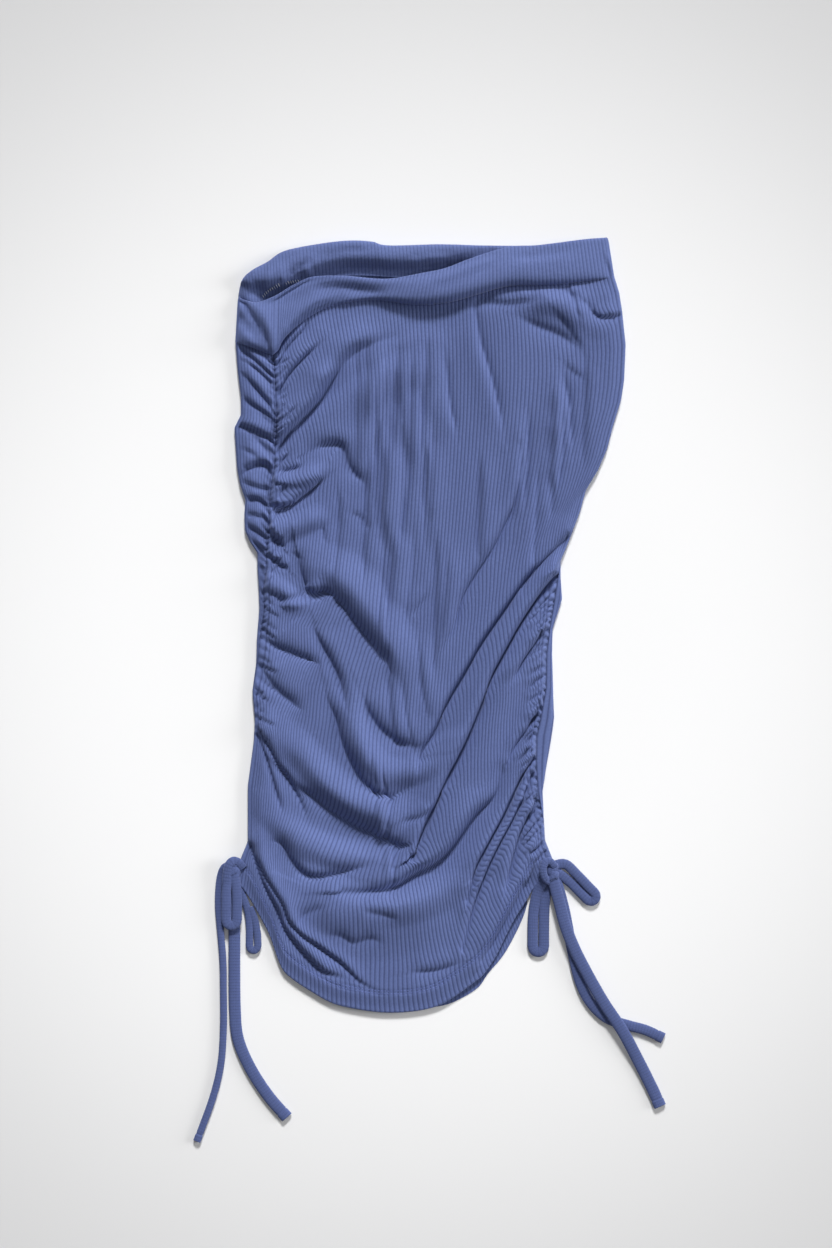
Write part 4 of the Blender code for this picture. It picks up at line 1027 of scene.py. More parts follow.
back_points = back_grid()
arc_ribs = np.linspace(0.0, 3.0, RIGHT_ARC_STEPS + 1)
under_ribs = 3.0 + np.arange(1, BACK_FLAT_RIBS * 2) / 2
left_arc_ribs = under_ribs[-1] + np.linspace(0.5, 3.0, LEFT_ARC_STEPS + 1)
wrap_ribs = left_arc_ribs[-1] + (np.arange(WRAP_RIBS * len(RIB_STEPS)) + 1) / len(RIB_STEPS)
back_ribs = np.concatenate([arc_ribs, under_ribs, left_arc_ribs, wrap_ribs])
back = grid_piece("back_shell", back_points, knit_places(back_points, back_ribs))
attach(back, "root")
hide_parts("back_panel")

# %% [markdown]
# ## Waistband
# The band is a doubled ring of the same knit. In front it is a soft roll that overhangs its
# seam and sinks along the middle; behind it lies flat, and its inside shows above the front
# edge as the mouth of the skirt. One ring of columns carries both, each with a section that
# goes up the outside, over the top edge and down the inside.

# %% Waistband tables
BAND_LEFT_CORNER = (238, 297)
BAND_RIGHT_CORNER = (608, 238)
BAND_FRONT_TOP = [
    # across, down, roll height, middle height
    (238, 297, 0.0, 0.0), (246, 301, 2.6, 1.4), (258, 303, 5.0, 2.6), (275, 297, 6.6, 3.0),
    (294, 286, 7.0, 2.0), (313, 278, 7.2, 0.6), (345, 277, 7.2, -0.8), (386, 280, 7.6, 1.4),
    (423, 274, 8.0, 5.4), (446, 269, 7.6, 7.0), (469, 260, 6.6, 6.8), (507, 248, 4.6, 5.4),
    (538, 246, 3.4, 3.6), (584, 240, 2.0, 1.8), (608, 238, 0.0, 0.0),
]
BAND_BACK_TOP = [
    (608, 238), (584, 240), (561, 243), (538, 246), (484, 246), (440, 245), (388, 246),
    (371, 242), (344, 241.5), (309, 246), (283, 252), (268, 262), (252, 271), (242, 281),
    (238, 297),
]
BAND_FLOOR = 1.0
BAND_BELLY = 4.0
BELLY_ROLLS = (0.0, 4.0)
BAND_PUFF = 2.4
BAND_PUFF_SHARES = (0.1, 0.75)
PUFF_AT_RIGHT = (0.0, 0.2)
PUFF_AT_LEFT = (0.0, 0.08)
BAND_LEVELS = [
    # share of the height, share of the belly, of the roll, of the middle, drop in mm
    (0.0, -1.0, 0.0, 0.0, 0.0),
    (-0.035, -0.45, 0.0, 0.1, 0.0),
    (-0.055, 0.1, 0.05, 0.2, 0.0),
    (-0.045, 0.6, 0.1, 0.4, 0.0),
    (0.01, 0.95, 0.15, 0.6, 0.0),
    (0.1, 1.1, 0.2, 0.8, 0.0),
    (0.22, 1.0, 0.25, 0.95, 0.0),
    (0.35, 0.75, 0.35, 1.0, 0.0),
    (0.48, 0.5, 0.5, 0.95, 0.0),
    (0.58, 0.3, 0.66, 0.8, 0.0),
    (0.68, 0.15, 0.84, 0.55, 0.0),
    (0.78, 0.05, 0.96, 0.3, 0.0),
    (0.86, 0.0, 1.0, 0.1, 0.0),
    (0.93, 0.0, 0.97, 0.0, 0.1),
    (0.98, 0.0, 0.9, 0.0, 0.5),
    (1.0, 0.0, 0.85, 0.0, 1.1),
    (0.99, 0.0, 0.8, 0.0, 1.7),
    (0.96, 0.0, 0.8, 0.0, 2.2),
    (0.9, 0.0, 0.78, 0.0, 2.3),
    (0.82, 0.05, 0.75, 0.2, 2.3),
    (0.74, 0.1, 0.65, 0.4, 2.3),
    (0.66, 0.15, 0.55, 0.6, 2.3),
    (0.58, 0.2, 0.45, 0.7, 2.3),
    (0.5, 0.25, 0.38, 0.8, 2.3),
    (0.42, 0.3, 0.3, 0.9, 2.3),
    (0.34, 0.3, 0.2, 0.8, 2.3),
    (0.26, 0.3, 0.12, 0.7, 2.3),
    (0.18, 0.3, 0.1, 0.6, 2.3),
    (0.1, 0.2, 0.05, 0.4, 2.3),
]
BAND_UNDER_RIBS = 110
BAND_TOP_LEVEL = 14
BAND_CREASES = [
    # name, depth, width, lip, lip reach, start, end, route
    ("left pocket", 5.0, 5.5, 4.2, 9, 0.5, 0.5, [(256, 288), (268, 291), (285, 288), (301, 279)]),
    ("bottom of the left pocket", 4.5, 5.0, 1.0, 6, 0.4, 0.4,
     [(254, 293), (266, 297), (278, 293), (290, 285), (301, 278)]),
    ("mouth shadow", 3.6, 4.6, 3.0, 9, 0.6, 0.2,
     [(300, 281), (328, 272), (353, 268), (400, 270), (450, 263), (490, 253)]),
    ("pucker", 2.2, 2.6, 1.6, -6, 0.6, 0.2, [(288, 277), (299, 269), (311, 263)]),
    ("inner crease one", 0.8, 3.0, 0.8, 6, 0.2, 0.2, [(318, 258), (345, 252), (372, 251)]),
    ("inner crease two", 0.7, 3.0, 0.7, -6, 0.2, 0.2, [(395, 262), (430, 256), (462, 254)]),
    ("hollow of the front roll", 1.7, 8.0, 0.8, 9, 0.2, 0.1,
     [(306, 292), (322, 288), (345, 288), (374, 293), (392, 293)]),
    ("eye crease one", 1.8, 2.6, 1.6, 5, 0.9, 0.3, [(292, 331), (304, 318), (318, 308),
                                                   (342, 300)]),
    ("eye crease two", 1.4, 2.2, 1.0, -4, 0.9, 0.2, [(303, 322), (318, 317), (331, 311),
                                                    (340, 304)]),
    ("front crease one", 0.9, 3.4, 0.8, 6, 0.2, 0.2, [(262, 312), (284, 302), (305, 295)]),
    ("front crease two", 0.9, 3.4, 0.8, 6, 0.2, 0.2, [(430, 290), (462, 279), (500, 264)]),
    ("front crease three", 0.8, 3.0, 0.7, -6, 0.2, 0.2, [(505, 262), (540, 257), (580, 252)]),
    ("corner seam", 1.4, 1.4, 0.8, 3, 0.5, 0.8, [(606, 262), (609, 272), (611, 281)]),
    ("left end crease", 2.0, 3.6, 1.6, 7, 0.4, 0.8, [(243, 304), (256, 322), (268, 344)]),
    ("left end fold", 2.0, 4.0, 1.6, -7, 0.6, 0.2, [(238, 318), (250, 331), (262, 340)]),
    ("fold under the left corner", 1.6, 2.4, 1.6, -5, 0.8, 0.2, [(238, 301), (246, 306),
                                                                 (251, 315)]),
    ("left end mark", 1.2, 1.8, 1.0, 4, 0.2, 0.8, [(262, 322), (266, 334), (270, 350)]),
]
print("creases of the band:", len(BAND_CREASES))

# %% Columns round the band's seam
UNDER_SHARES = np.linspace(0.0, 1.0, BAND_UNDER_RIBS * 2 + 1)[1:-1]


def seam_ring():
    """The band's seam all round: left turn and wrap, front, right turn, then the back."""
    left = back_points[0, -(LEFT_ARC_STEPS + WRAP_RIBS * len(RIB_STEPS) + 1):]
    right = back_points[0, :RIGHT_ARC_STEPS + 1]
    flat = back_points[0, RIGHT_ARC_STEPS:-len(left) + 1]
    under = np.stack([
        np.interp(UNDER_SHARES * (len(flat) - 1), np.arange(len(flat)), flat[:, k])
        for k in range(3)
    ], -1)
    under[:, 2] = 0.0
    front_row = front_plain()[0][0]
    return np.vstack([left, front_row, right, under]), len(left), len(front_row)


band_radius = row_frames(BACK_ROWS)[0]["radius"]
ring, left_columns, front_columns = seam_ring()
front_last = left_columns + front_columns - len(EDGE_STEPS)
right_last = left_columns + front_columns + RIGHT_ARC_STEPS
left_turn = range(LEFT_ARC_STEPS + 1)
right_turn = range(front_last + 1, right_last + 1)
over = np.arange(LEFT_ARC_STEPS, front_last + 1)
ring[over, 2] = 2 * band_radius
left_x = ring[1:LEFT_ARC_STEPS + 1, 0].min()
right_x = ring[front_last:right_last + 1, 0].max()
print("columns round the band:", len(ring))


# %% Top edge of the band
def band_tops():
    """Top edge, height of the roll and height of the middle for each column."""
    travelled = travelled_of(ring[over]) + band_radius
    run = along(BAND_FRONT_TOP, travelled / (travelled[-1] + math.pi * band_radius / 2))
    tops = np.zeros((len(ring), 2))
    rolls = np.zeros(len(ring))
    middles = np.zeros(len(ring))
    tops[over] = place(run[:, :2])
    rolls[over] = run[:, 2]
    middles[over] = run[:, 3]
    for column in left_turn[:-1]:
        tops[column] = place(BAND_LEFT_CORNER) + (ring[column, 0] - left_x, 0.0)
    for column in right_turn:
        tops[column] = place(BAND_RIGHT_CORNER) + (ring[column, 0] - right_x, 0.0)
    tops[right_last + 1:] = place(along(BAND_BACK_TOP, UNDER_SHARES))
    return tops, rolls, middles


def band_outward():
    """Direction out of the band's cloth for each column."""
    outward = np.zeros_like(ring)
    outward[:, 2] = 1.0
    outward[right_last:, 2] = -1.0
    outward[0, 2] = -1.0
    for columns, fold_x, side in ((left_turn, left_x, 1), (right_turn, right_x, -1)):
        for column in columns:
            turned = 1 - min(side * (ring[column, 0] - fold_x) / band_radius, 1.0)
            outward[column, 0] = -side * turned
            rise = math.sqrt(max(1 - turned * turned, 0.0))
            outward[column, 2] = math.copysign(rise, ring[column, 2] - band_radius)
    return outward


# %% Waistband grid
def band_plain(outward):
    """The band's columns through its levels, from the seam over the top to the inside."""
    tops, rolls, middles = band_tops()
    loose = np.zeros(len(ring))
    loose[over] = ramp(rolls[over], *BELLY_ROLLS)
    puff = np.zeros(len(ring))
    leftward = np.linspace(0.0, 1.0, len(puff) - right_last)
    puff[right_last:] = BAND_PUFF * ramp(leftward, *PUFF_AT_RIGHT)
    puff[right_last:] *= ramp(1 - leftward, *PUFF_AT_LEFT)
    grid = np.zeros((len(BAND_LEVELS), len(ring), 3))
    for level, (share, belly, roll, middle, drop) in enumerate(BAND_LEVELS):
        rise = rolls * roll + middles * middle + BAND_BELLY * belly * loose
        grid[level, :, :2] = ring[:, :2] + (tops - ring[:, :2]) * share
        grid[level, :, 2] = ring[:, 2] + rise
        inner = ramp(share, *BAND_PUFF_SHARES) if level > BAND_TOP_LEVEL else 1.0
        grid[level] -= outward * (drop * (1 + puff * inner))[:, None]
    return grid


def band_grid():
    """The band's grid with its ribs and creases."""
    outward = band_outward()
    grid = band_plain(outward)
    ribbed = np.zeros(len(ring))
    first = left_columns + len(EDGE_STEPS) - 1
    _positions, heights = rib_columns(RIBS)
    ribbed[first:first + len(heights)] = heights
    grid[1:BAND_TOP_LEVEL] += outward * ribbed[None, :, None]
    facing_up = np.zeros(grid.shape[:2], bool)
    facing_up[:BAND_TOP_LEVEL, over] = True
    facing_up[BAND_TOP_LEVEL + 2:, right_last + 1:] = True
    creases, _shift = add_creases(grid.reshape(-1, 3), BAND_CREASES)
    settled = soft_floor(grid[:, :, 2] + creases.reshape(facing_up.shape), BAND_FLOOR)
    grid[:, :, 2] = np.where(facing_up, settled, grid[:, :, 2])
    return grid


band_points = band_grid()
left_part_columns = left_columns + len(EDGE_STEPS) - 1
left_part = np.linspace(-left_part_columns / len(RIB_STEPS), 0.0, left_part_columns,
                        endpoint=False)
rest_columns = len(ring) - left_part_columns - len(rib_columns(RIBS)[0])
rest_part = RIBS + (np.arange(rest_columns) + 1) / 2
band_ribs = np.concatenate([left_part, rib_columns(RIBS)[0], rest_part])
band = grid_piece("waistband_roll", band_points[::-1], knit_places(band_points, band_ribs)[::-1],
                  ring=True)
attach(band, "root")
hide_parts("waistband")

# %% [markdown]
# ## Ties and bows
# The drawstrings are flat tubes of the same knit cut across, so their ribs run round them.
# Each is swept along the route that its solid has, with a rounded flat section, and the
# loop that hangs at the right runs on a little way under its knot. The free ends are turned
# in and stitched, which shows as a thicker last few millimetres.

# %% Tie routes
TIE_THICKNESS = 3.4
TIE_SIDES = 14
TIE_STEP = 0.62
TIE_RIB = 2.75
TIE_RIB_HEIGHT = 0.09
TIE_END = 7.0
TIE_END_SLOPE = 1.0
TIE_END_SWELL = 0.25
TIE_STITCH_DIP = 0.35
TIE_STITCH_WIDTH = 0.8
TIE_CURVE_STEPS = 10
TIES = [
    # name, width in mm, bow, route of (across, down, height in mm)
    ("left_tail_outer", 6.6, "left", [
        (230, 864, 5.4), (224.5, 867, 4.2), (221.2, 873.5, 2.6), (219.2, 885, 1.9),
        (218.6, 905, 1.9), (221, 935, 1.9), (223, 960, 1.9), (223.5, 990, 1.9),
        (223.5, 1028, 1.9), (221, 1063, 1.9), (213, 1097, 1.9), (197, 1141, 1.9)]),
    ("left_tail_inner", 11.0, "left", [
        (230.5, 869, 3.2), (230, 879, 2.2), (231.5, 892, 1.9), (233.5, 908, 1.9),
        (234.5, 935, 1.9), (234.5, 969, 1.9), (235, 1008, 1.9), (238, 1038, 1.9),
        (250, 1067, 1.9), (268, 1095, 1.9), (287, 1117, 1.9)]),
    ("right_tail_over", 11.0, "right", [
        (551, 872, 5.9), (553.6, 882, 5.7), (558.5, 900, 5.7), (565, 925, 5.7),
        (575, 950, 5.7), (589, 977, 5.7), (604, 1003, 5.7), (622, 1030, 5.4),
        (638, 1060, 2.8), (652, 1088, 1.9), (660, 1106, 1.9)]),
    ("right_tail_under", 9.7, "right", [
        (553, 873, 2.6), (558.1, 886, 1.9), (564, 908, 1.9), (568, 928, 1.9),
        (572, 950, 1.9), (580, 982, 1.9), (591, 1003, 1.9), (607, 1018, 1.9),
        (628, 1025, 1.9), (646, 1030, 1.9), (663, 1038, 1.9)]),
    ("left_loop_front", 9.1, "", [
        (232, 866, 6.6), (228.4, 876, 6.4), (226.9, 890, 6.2), (226.6, 904, 6.1),
        (226.6, 915.5, 5.9), (226.8, 919.5, 5.9), (228.2, 923.2, 5.9), (231.8, 925, 5.9),
        (235.6, 923.2, 5.9), (237.2, 919.5, 5.9), (237.4, 914, 5.9), (237.6, 900, 5.9),
        (236.6, 884, 6.1), (233.4, 868, 6.2)]),
    ("left_loop_back", 7.0, "", [
        (237, 880, 2.1), (243, 896, 1.9), (248, 911, 1.9), (249.6, 927, 1.9),
        (249.6, 942.6, 1.9), (249.6, 945.6, 1.9), (250.8, 948.8, 1.9), (253.6, 950.2, 1.9),
        (256.4, 948.8, 1.9), (257.8, 945.6, 1.9), (257.8, 942, 1.9), (257.2, 932, 1.9),
        (254.6, 919, 1.9), (250, 907, 1.9)]),
    ("right_loop_down", 9.9, "", [
        (549.6, 874, 3.4), (546.6, 886, 2.2), (544.6, 902, 1.9), (543.8, 922, 1.9),
        (543.7, 942, 1.9), (543.6, 946, 1.9), (542, 949.9, 1.9), (538.2, 951.5, 1.9),
        (534.4, 949.9, 1.9), (532.8, 946, 1.9), (532.7, 942, 1.9), (532.8, 925, 1.9),
        (533.8, 909, 1.9), (537, 893, 2.6), (542, 882, 4.6), (547, 875, 6.0)]),
    ("right_loop_side", 9.2, "", [
        (550, 870, 4.6), (556, 864.8, 3.4), (566, 864.4, 3.0), (577, 874.6, 3.2),
        (588.3, 886.4, 3.0), (591.4, 889.6, 2.8), (594.3, 892.6, 2.6), (595.6, 896, 2.4),
        (594.3, 899.4, 2.2), (590.8, 900.8, 2.1), (587.4, 899.4, 2.0), (584.4, 896.4, 1.9),
        (578.6, 890.6, 1.9), (570, 882, 1.9), (561, 875, 2.2), (553, 870, 3.0)]),
]


# %% Sweep of a flat tube
# Below 1 these powers square the section off; the taper and cap round the tube's two ends
WIDTH_POWER = 0.8
HEIGHT_POWER = 0.75
END_TAPER = 0.5
END_CAP = 0.1
MERGE_DISTANCE = 1e-7


def tube_grid(path, width, thickness, sides, swell=None):
    """Grid of a flat tube along a path, one row to each point, with capped ends."""
    heading = unit(np.gradient(path, axis=0))
    side = unit(np.cross(heading, (0.0, 0.0, 1.0)))
    over = np.cross(side, heading)
    angle = np.linspace(0.0, 2 * math.pi, sides, endpoint=False)
    flat = np.sign(np.cos(angle)) * np.abs(np.cos(angle)) ** WIDTH_POWER
    tall = np.sign(np.sin(angle)) * np.abs(np.sin(angle)) ** HEIGHT_POWER
    swell = np.zeros(len(path)) if swell is None else swell
    half_width = width / 2 + swell
    half_height = thickness / 2 + swell
    grid = path[:, None] + side[:, None] * (half_width[:, None] * flat)[:, :, None]
    grid = grid + over[:, None] * (half_height[:, None] * tall)[:, :, None]
    start = path[0] + (grid[0] - path[0]) * END_TAPER - heading[0] * END_CAP
    end = path[-1] + (grid[-1] - path[-1]) * END_TAPER + heading[-1] * END_CAP
    first = np.repeat(path[:1], sides, axis=0)
    last = np.repeat(path[-1:], sides, axis=0)
    return np.concatenate([[first], [start], grid, [end], [last]])


def close_ends(piece):
    """Merges the coincident points at a tube's two ends."""
    shape = bmesh.new()
    shape.from_mesh(piece.data)
    bmesh.ops.remove_doubles(shape, verts=shape.verts, dist=MERGE_DISTANCE)
    bmesh.ops.recalc_face_normals(shape, faces=shape.faces)
    shape.to_mesh(piece.data)
    shape.free()


def knit_of_tube(along_it, around_it):
    """Places in the knit for a tube's grid, from where each ring and each side is."""
    return np.stack(np.broadcast_arrays(along_it[:, None], around_it[None, :], 0.0), -1)


def tie_piece(name, width, free_end, route):
    """One tie or loop as a mesh along its route, and the path that it follows."""
    spots = place(route)
    length = travelled_of(smooth_run(spots, TIE_CURVE_STEPS))[-1]
    shares = np.linspace(0.0, 1.0, int(length / TIE_STEP))
    path = along(spots, shares, TIE_CURVE_STEPS)
    travelled = travelled_of(path)
    swell = TIE_RIB_HEIGHT * (0.5 * np.cos(2 * math.pi * travelled / TIE_RIB) - 0.5)
    if free_end:
        from_end = travelled[-1] - travelled
        swell = swell + TIE_END_SWELL * (1 - ramp(from_end, TIE_END - TIE_END_SLOPE, TIE_END))
        seam = np.exp(-((from_end - TIE_END) / TIE_STITCH_WIDTH) ** 2)
        swell = swell - TIE_STITCH_DIP * seam
    grid = tube_grid(path, width, TIE_THICKNESS, TIE_SIDES, swell)
    down = np.concatenate([[0.0, 0.0], travelled, travelled[-1:], travelled[-1:]]) / TIE_RIB
    around = np.linspace(0.0, 2 * (width + TIE_THICKNESS), TIE_SIDES)
    piece = grid_piece("tie_" + name, grid, knit_of_tube(down, around), ring=True)
    close_ends(piece)
    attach(piece, "root")
    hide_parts(name)
    return piece, path, travelled[-1]


ties = {}
for name, width, bow, route in TIES:
    piece, path, length = tie_piece(name, width, bool(bow), route)
    ties[name] = piece
    if bow:
        print(name, "is", round(length), "mm long")

# %% [markdown]
# ## Knots
# A knot is the strand wound round itself. Three turns of the same flat tube, each on a
# tilted oval round a small core, read as a knot from every side, and fill the lump that
# stands for it in the collision model. One more strand closes the bow over the turns.

# %% Knot windings
KNOTS = [
    # name, across, down, half width, half length, height
    ("left_knot", 233.2, 867.5, 6.6, 7.6, 8.6),
    ("right_knot", 552.0, 871.4, 5.9, 8.0, 9.2),
]
KNOT_STRANDS = {
    # knot: width in mm, route of (across, down, height in mm)
    "left_knot": (8.4, [
        (226.9, 889, 5.9), (227.1, 878, 7.2), (229.4, 865.5, 8.2), (233.6, 860.6, 8.0),
        (239, 862.4, 6.6), (243.5, 868, 5.0)]),
    "right_knot": (7.0, [
        (549.6, 881, 6.4), (545.2, 878.4, 8.8), (542.4, 870, 10.4), (544.4, 862, 10.4),
        (549.4, 860.6, 9.4), (554.4, 866, 8.2)]),
}
KNOT_WRAPS = [
    # tilt in degrees, place along the knot, share of the width, strand width in mm
    (22.0, 0.34, 0.96, 7.2),
    (-28.0, -0.12, 1.1, 7.6),
    (34.0, -0.5, 0.92, 6.0),
]
WRAP_POINTS = 56
WRAP_SIDES = 10
WRAP_THICKNESS = 2.6
WRAP_MARGIN = 0.1
WRAP_RIPPLES = 14
WRAP_RIPPLE = 0.04


def wrap_grid(spot, half_width, half_length, height, tilt, shift, share, strand):
    """One turn of the strand round the knot: a closed flat tube."""
    turn = np.linspace(0.0, 2 * math.pi, WRAP_POINTS, endpoint=False)
    reach = half_width * share - WRAP_THICKNESS / 2
    rise = height / 2 - WRAP_THICKNESS / 2 - WRAP_MARGIN
    along_knot = shift * half_length + math.tan(math.radians(tilt)) * reach * np.cos(turn)
    path = np.stack([
        spot[0] + reach * np.cos(turn), spot[1] + along_knot, height / 2 + rise * np.sin(turn),
    ], -1)
    outward = unit(np.stack([np.cos(turn) / reach, 0 * turn, np.sin(turn) / rise], -1))
    heading = unit(np.roll(path, -1, axis=0) - np.roll(path, 1, axis=0))
    side = np.cross(heading, outward)
    angle = np.linspace(0.0, 2 * math.pi, WRAP_SIDES, endpoint=False)
    ripple = 1 + WRAP_RIPPLE * np.cos(WRAP_RIPPLES * turn)
    flat = (strand / 2 * np.cos(angle))[None, :, None] * ripple[:, None, None]
    tall = (WRAP_THICKNESS / 2 * np.sin(angle))[None, :, None] * ripple[:, None, None]
    grid = path[:, None] + side[:, None] * flat + outward[:, None] * tall
    return np.concatenate([grid, grid[:1]])


def knot_part(name, grid, ribs, girth):
    """One closed part of a knot, with so many ribs along it and a girth in millimetres."""
    along_it = np.linspace(0.0, ribs, grid.shape[0])
    around_it = np.linspace(0.0, girth, grid.shape[1])
    part = grid_piece(name, grid, knit_of_tube(along_it, around_it), ring=True)
    close_ends(part)
    return part


# %% Core of a knot
CORE_RINGS = 13
CORE_SIDES = 20
CORE_TIP = 0.02
CORE_INSET = (1.5, 1.4)
CORE_RIBS = 6.0
CORE_GIRTH = 30.0


def core_grid(spot, half_width, half_length, height):
    """Plain oval that fills the middle of a knot."""
    steps = np.linspace(-0.5, 0.5, CORE_RINGS) * math.pi
    turn = np.linspace(0.0, 2 * math.pi, CORE_SIDES, endpoint=False)[None, :]
    girth = np.maximum(np.cos(steps), CORE_TIP)[:, None]
    grid = np.zeros((CORE_RINGS, CORE_SIDES, 3))
    grid[:, :, 0] = spot[0] + girth * np.cos(turn) * (half_width - CORE_INSET[0])
    grid[:, :, 1] = (spot[1] + half_length * np.sin(steps))[:, None]
    grid[:, :, 2] = height / 2 + girth * np.sin(turn) * (height / 2 - CORE_INSET[1])
    return grid


# %% Knots as whole pieces
def knot_piece(name, across, down, half_width, half_length, height):
    """A knot of several turns and a strand round a core, joined into one object."""
    spot = place((across, down))
    parts = []
    for tilt, shift, share, strand in KNOT_WRAPS:
        grid = wrap_grid(spot, half_width, half_length, height, tilt, shift, share, strand)
        parts.append(knot_part("turn", grid, WRAP_RIPPLES, 2 * strand))
    core = core_grid(spot, half_width, half_length, height)
    parts.append(knot_part("core", core, CORE_RIBS, CORE_GIRTH))
    strand, route = KNOT_STRANDS[name]
    path = along(place(route), np.linspace(0.0, 1.0, WRAP_POINTS))
    grid = tube_grid(path, strand, WRAP_THICKNESS, WRAP_SIDES)
    parts.append(knot_part("strand", grid, WRAP_RIPPLES, 2 * strand))
    whole = bmesh.new()
    for part in parts:
        whole.from_mesh(part.data)
    mesh = parts[0].data
    whole.to_mesh(mesh)
    whole.free()
    for part in parts[1:]:
        bpy.data.meshes.remove(part.data)
    mesh.name = name + "_windings"
    knot = parts[0]
    knot.name = name + "_windings"
    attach(knot, "root")
    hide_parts(name)
    return knot


knots = [knot_piece(*row) for row in KNOTS]
print("knots:", [knot.name for knot in knots])

# %% [markdown]
# ## Stitches
# The hem's twin-needle stitching is two rows of short straight stitches lying in the grooves
# of the front. Each stitch is a small bead of thread that sinks in at both ends, placed on
# the front's own grid, so it follows every fold.

# %% Hem stitching
STITCH_LENGTH = 2.3
STITCH_GAP = 0.7
THREAD = 0.26
STITCH_SIDES = 5
STITCH_COLUMNS = 6
HEM_SEARCH = 40
STITCH_RINGS = [
    # share of the stitch, share of the thread's radius, lift in mm
    (0.0, 0.35, -0.1), (0.25, 0.9, 0.1), (0.5, 1.0, 0.16), (0.75, 0.9, 0.1), (1.0, 0.35, -0.1),
]


def front_at_hem(distance):
    """Points of the front at a distance up from the hem, one to each column."""
    edges = len(EDGE_STEPS)
    body = front_points[:, edges:-edges]
    gaps = np.linalg.norm(body[:, :, :2] - body[-1, :, :2], axis=2)
    line = []
    for column in range(body.shape[1]):
        order = gaps[::-1, column][:HEM_SEARCH]
        rows = body[::-1, column][:HEM_SEARCH]
        line.append([np.interp(distance, order, rows[:, k]) for k in range(3)])
    return np.array(line)


def stitch_mesh(name, lines):
    """One object of many small thread beads, each given by its start and end."""
    shape = bmesh.new()
    for start, end in lines:
        reach = end - start
        length = np.linalg.norm(reach)
        heading = reach / length
        side = np.cross(heading, (0.0, 0.0, 1.0))
        side /= np.linalg.norm(side)
        over = np.cross(side, heading)
        rings = []
        for share, girth, lift in STITCH_RINGS:
            middle = start + reach * share + over * lift
            ring = []
            for corner in range(STITCH_SIDES):
                angle = 2 * math.pi * corner / STITCH_SIDES
                spot = middle + THREAD * girth * (side * math.cos(angle) + over * math.sin(angle))
                ring.append(shape.verts.new(Vector(spot) * METRES))
            rings.append(ring)
        for lower, upper in zip(rings, rings[1:]):
            for corner in range(STITCH_SIDES):
                after = (corner + 1) % STITCH_SIDES
                shape.faces.new((lower[corner], lower[after], upper[after], upper[corner]))
        shape.faces.new(rings[0][::-1])
        shape.faces.new(rings[-1])
    bmesh.ops.recalc_face_normals(shape, faces=shape.faces)
    mesh = bpy.data.meshes.new(name)
    shape.to_mesh(mesh)
    shape.free()
    mesh.shade_smooth()
    piece = add_object(name, mesh)
    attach(piece, "root")
    print(name, "has", len(lines), "stitches")
    return piece


def evenly(line, length, gap):
    """Starts and ends of stitches along a line of points."""
    steps = np.linalg.norm(np.diff(line, axis=0), axis=1)
    travelled = np.concatenate([[0.0], np.cumsum(steps)])
    starts = np.arange(gap, travelled[-1] - length - gap, length + gap)
    rows = []
    for start in starts:
        ends = [
            np.array([np.interp(at, travelled, line[:, k]) for k in range(3)])
            for at in (start, start + length)
        ]
        rows.append(ends)
    return rows


hem_lines = []
for groove in HEM_GROOVES:
    hem_lines += evenly(front_at_hem(groove)[::STITCH_COLUMNS], STITCH_LENGTH, STITCH_GAP)
hem_stitches = stitch_mesh("hem_stitching", hem_lines)

# %% Overlock stitches inside the band
OVERLOCK_ROUTE = [(264, 298), (270, 292), (280, 287.5), (299, 282.5)]
OVERLOCK_REACH = (-1.3, 2.7)
OVERLOCK_STITCHES = 17
OVERLOCK_LIFT = 0.45
inner_face = band_points[BAND_TOP_LEVEL + 2:, 1 - BAND_UNDER_RIBS * 2:].reshape(-1, 3)


def on_inner_face(spot):
    """A spot lifted just clear of the band's inner face."""
    gaps = np.hypot(inner_face[:, 0] - spot[0], inner_face[:, 1] - spot[1])
    return np.array([spot[0], spot[1], inner_face[np.argmin(gaps), 2] + OVERLOCK_LIFT])


overlock_run = along(place(OVERLOCK_ROUTE), np.linspace(0.0, 1.0, OVERLOCK_STITCHES))
overlock_lines = [(on_inner_face(spot), on_inner_face(spot + OVERLOCK_REACH))
                  for spot in overlock_run]
overlock = stitch_mesh("overlock_stitching", overlock_lines)

# %% [markdown]
# ## Materials by expressions
# Shader maths reads best as maths. A small class wraps a socket and overloads the usual
# operators, so that 1 - mask adds the right Math node. Colours and vectors go through Mix
# and Vector Math, and any other node comes from one method.

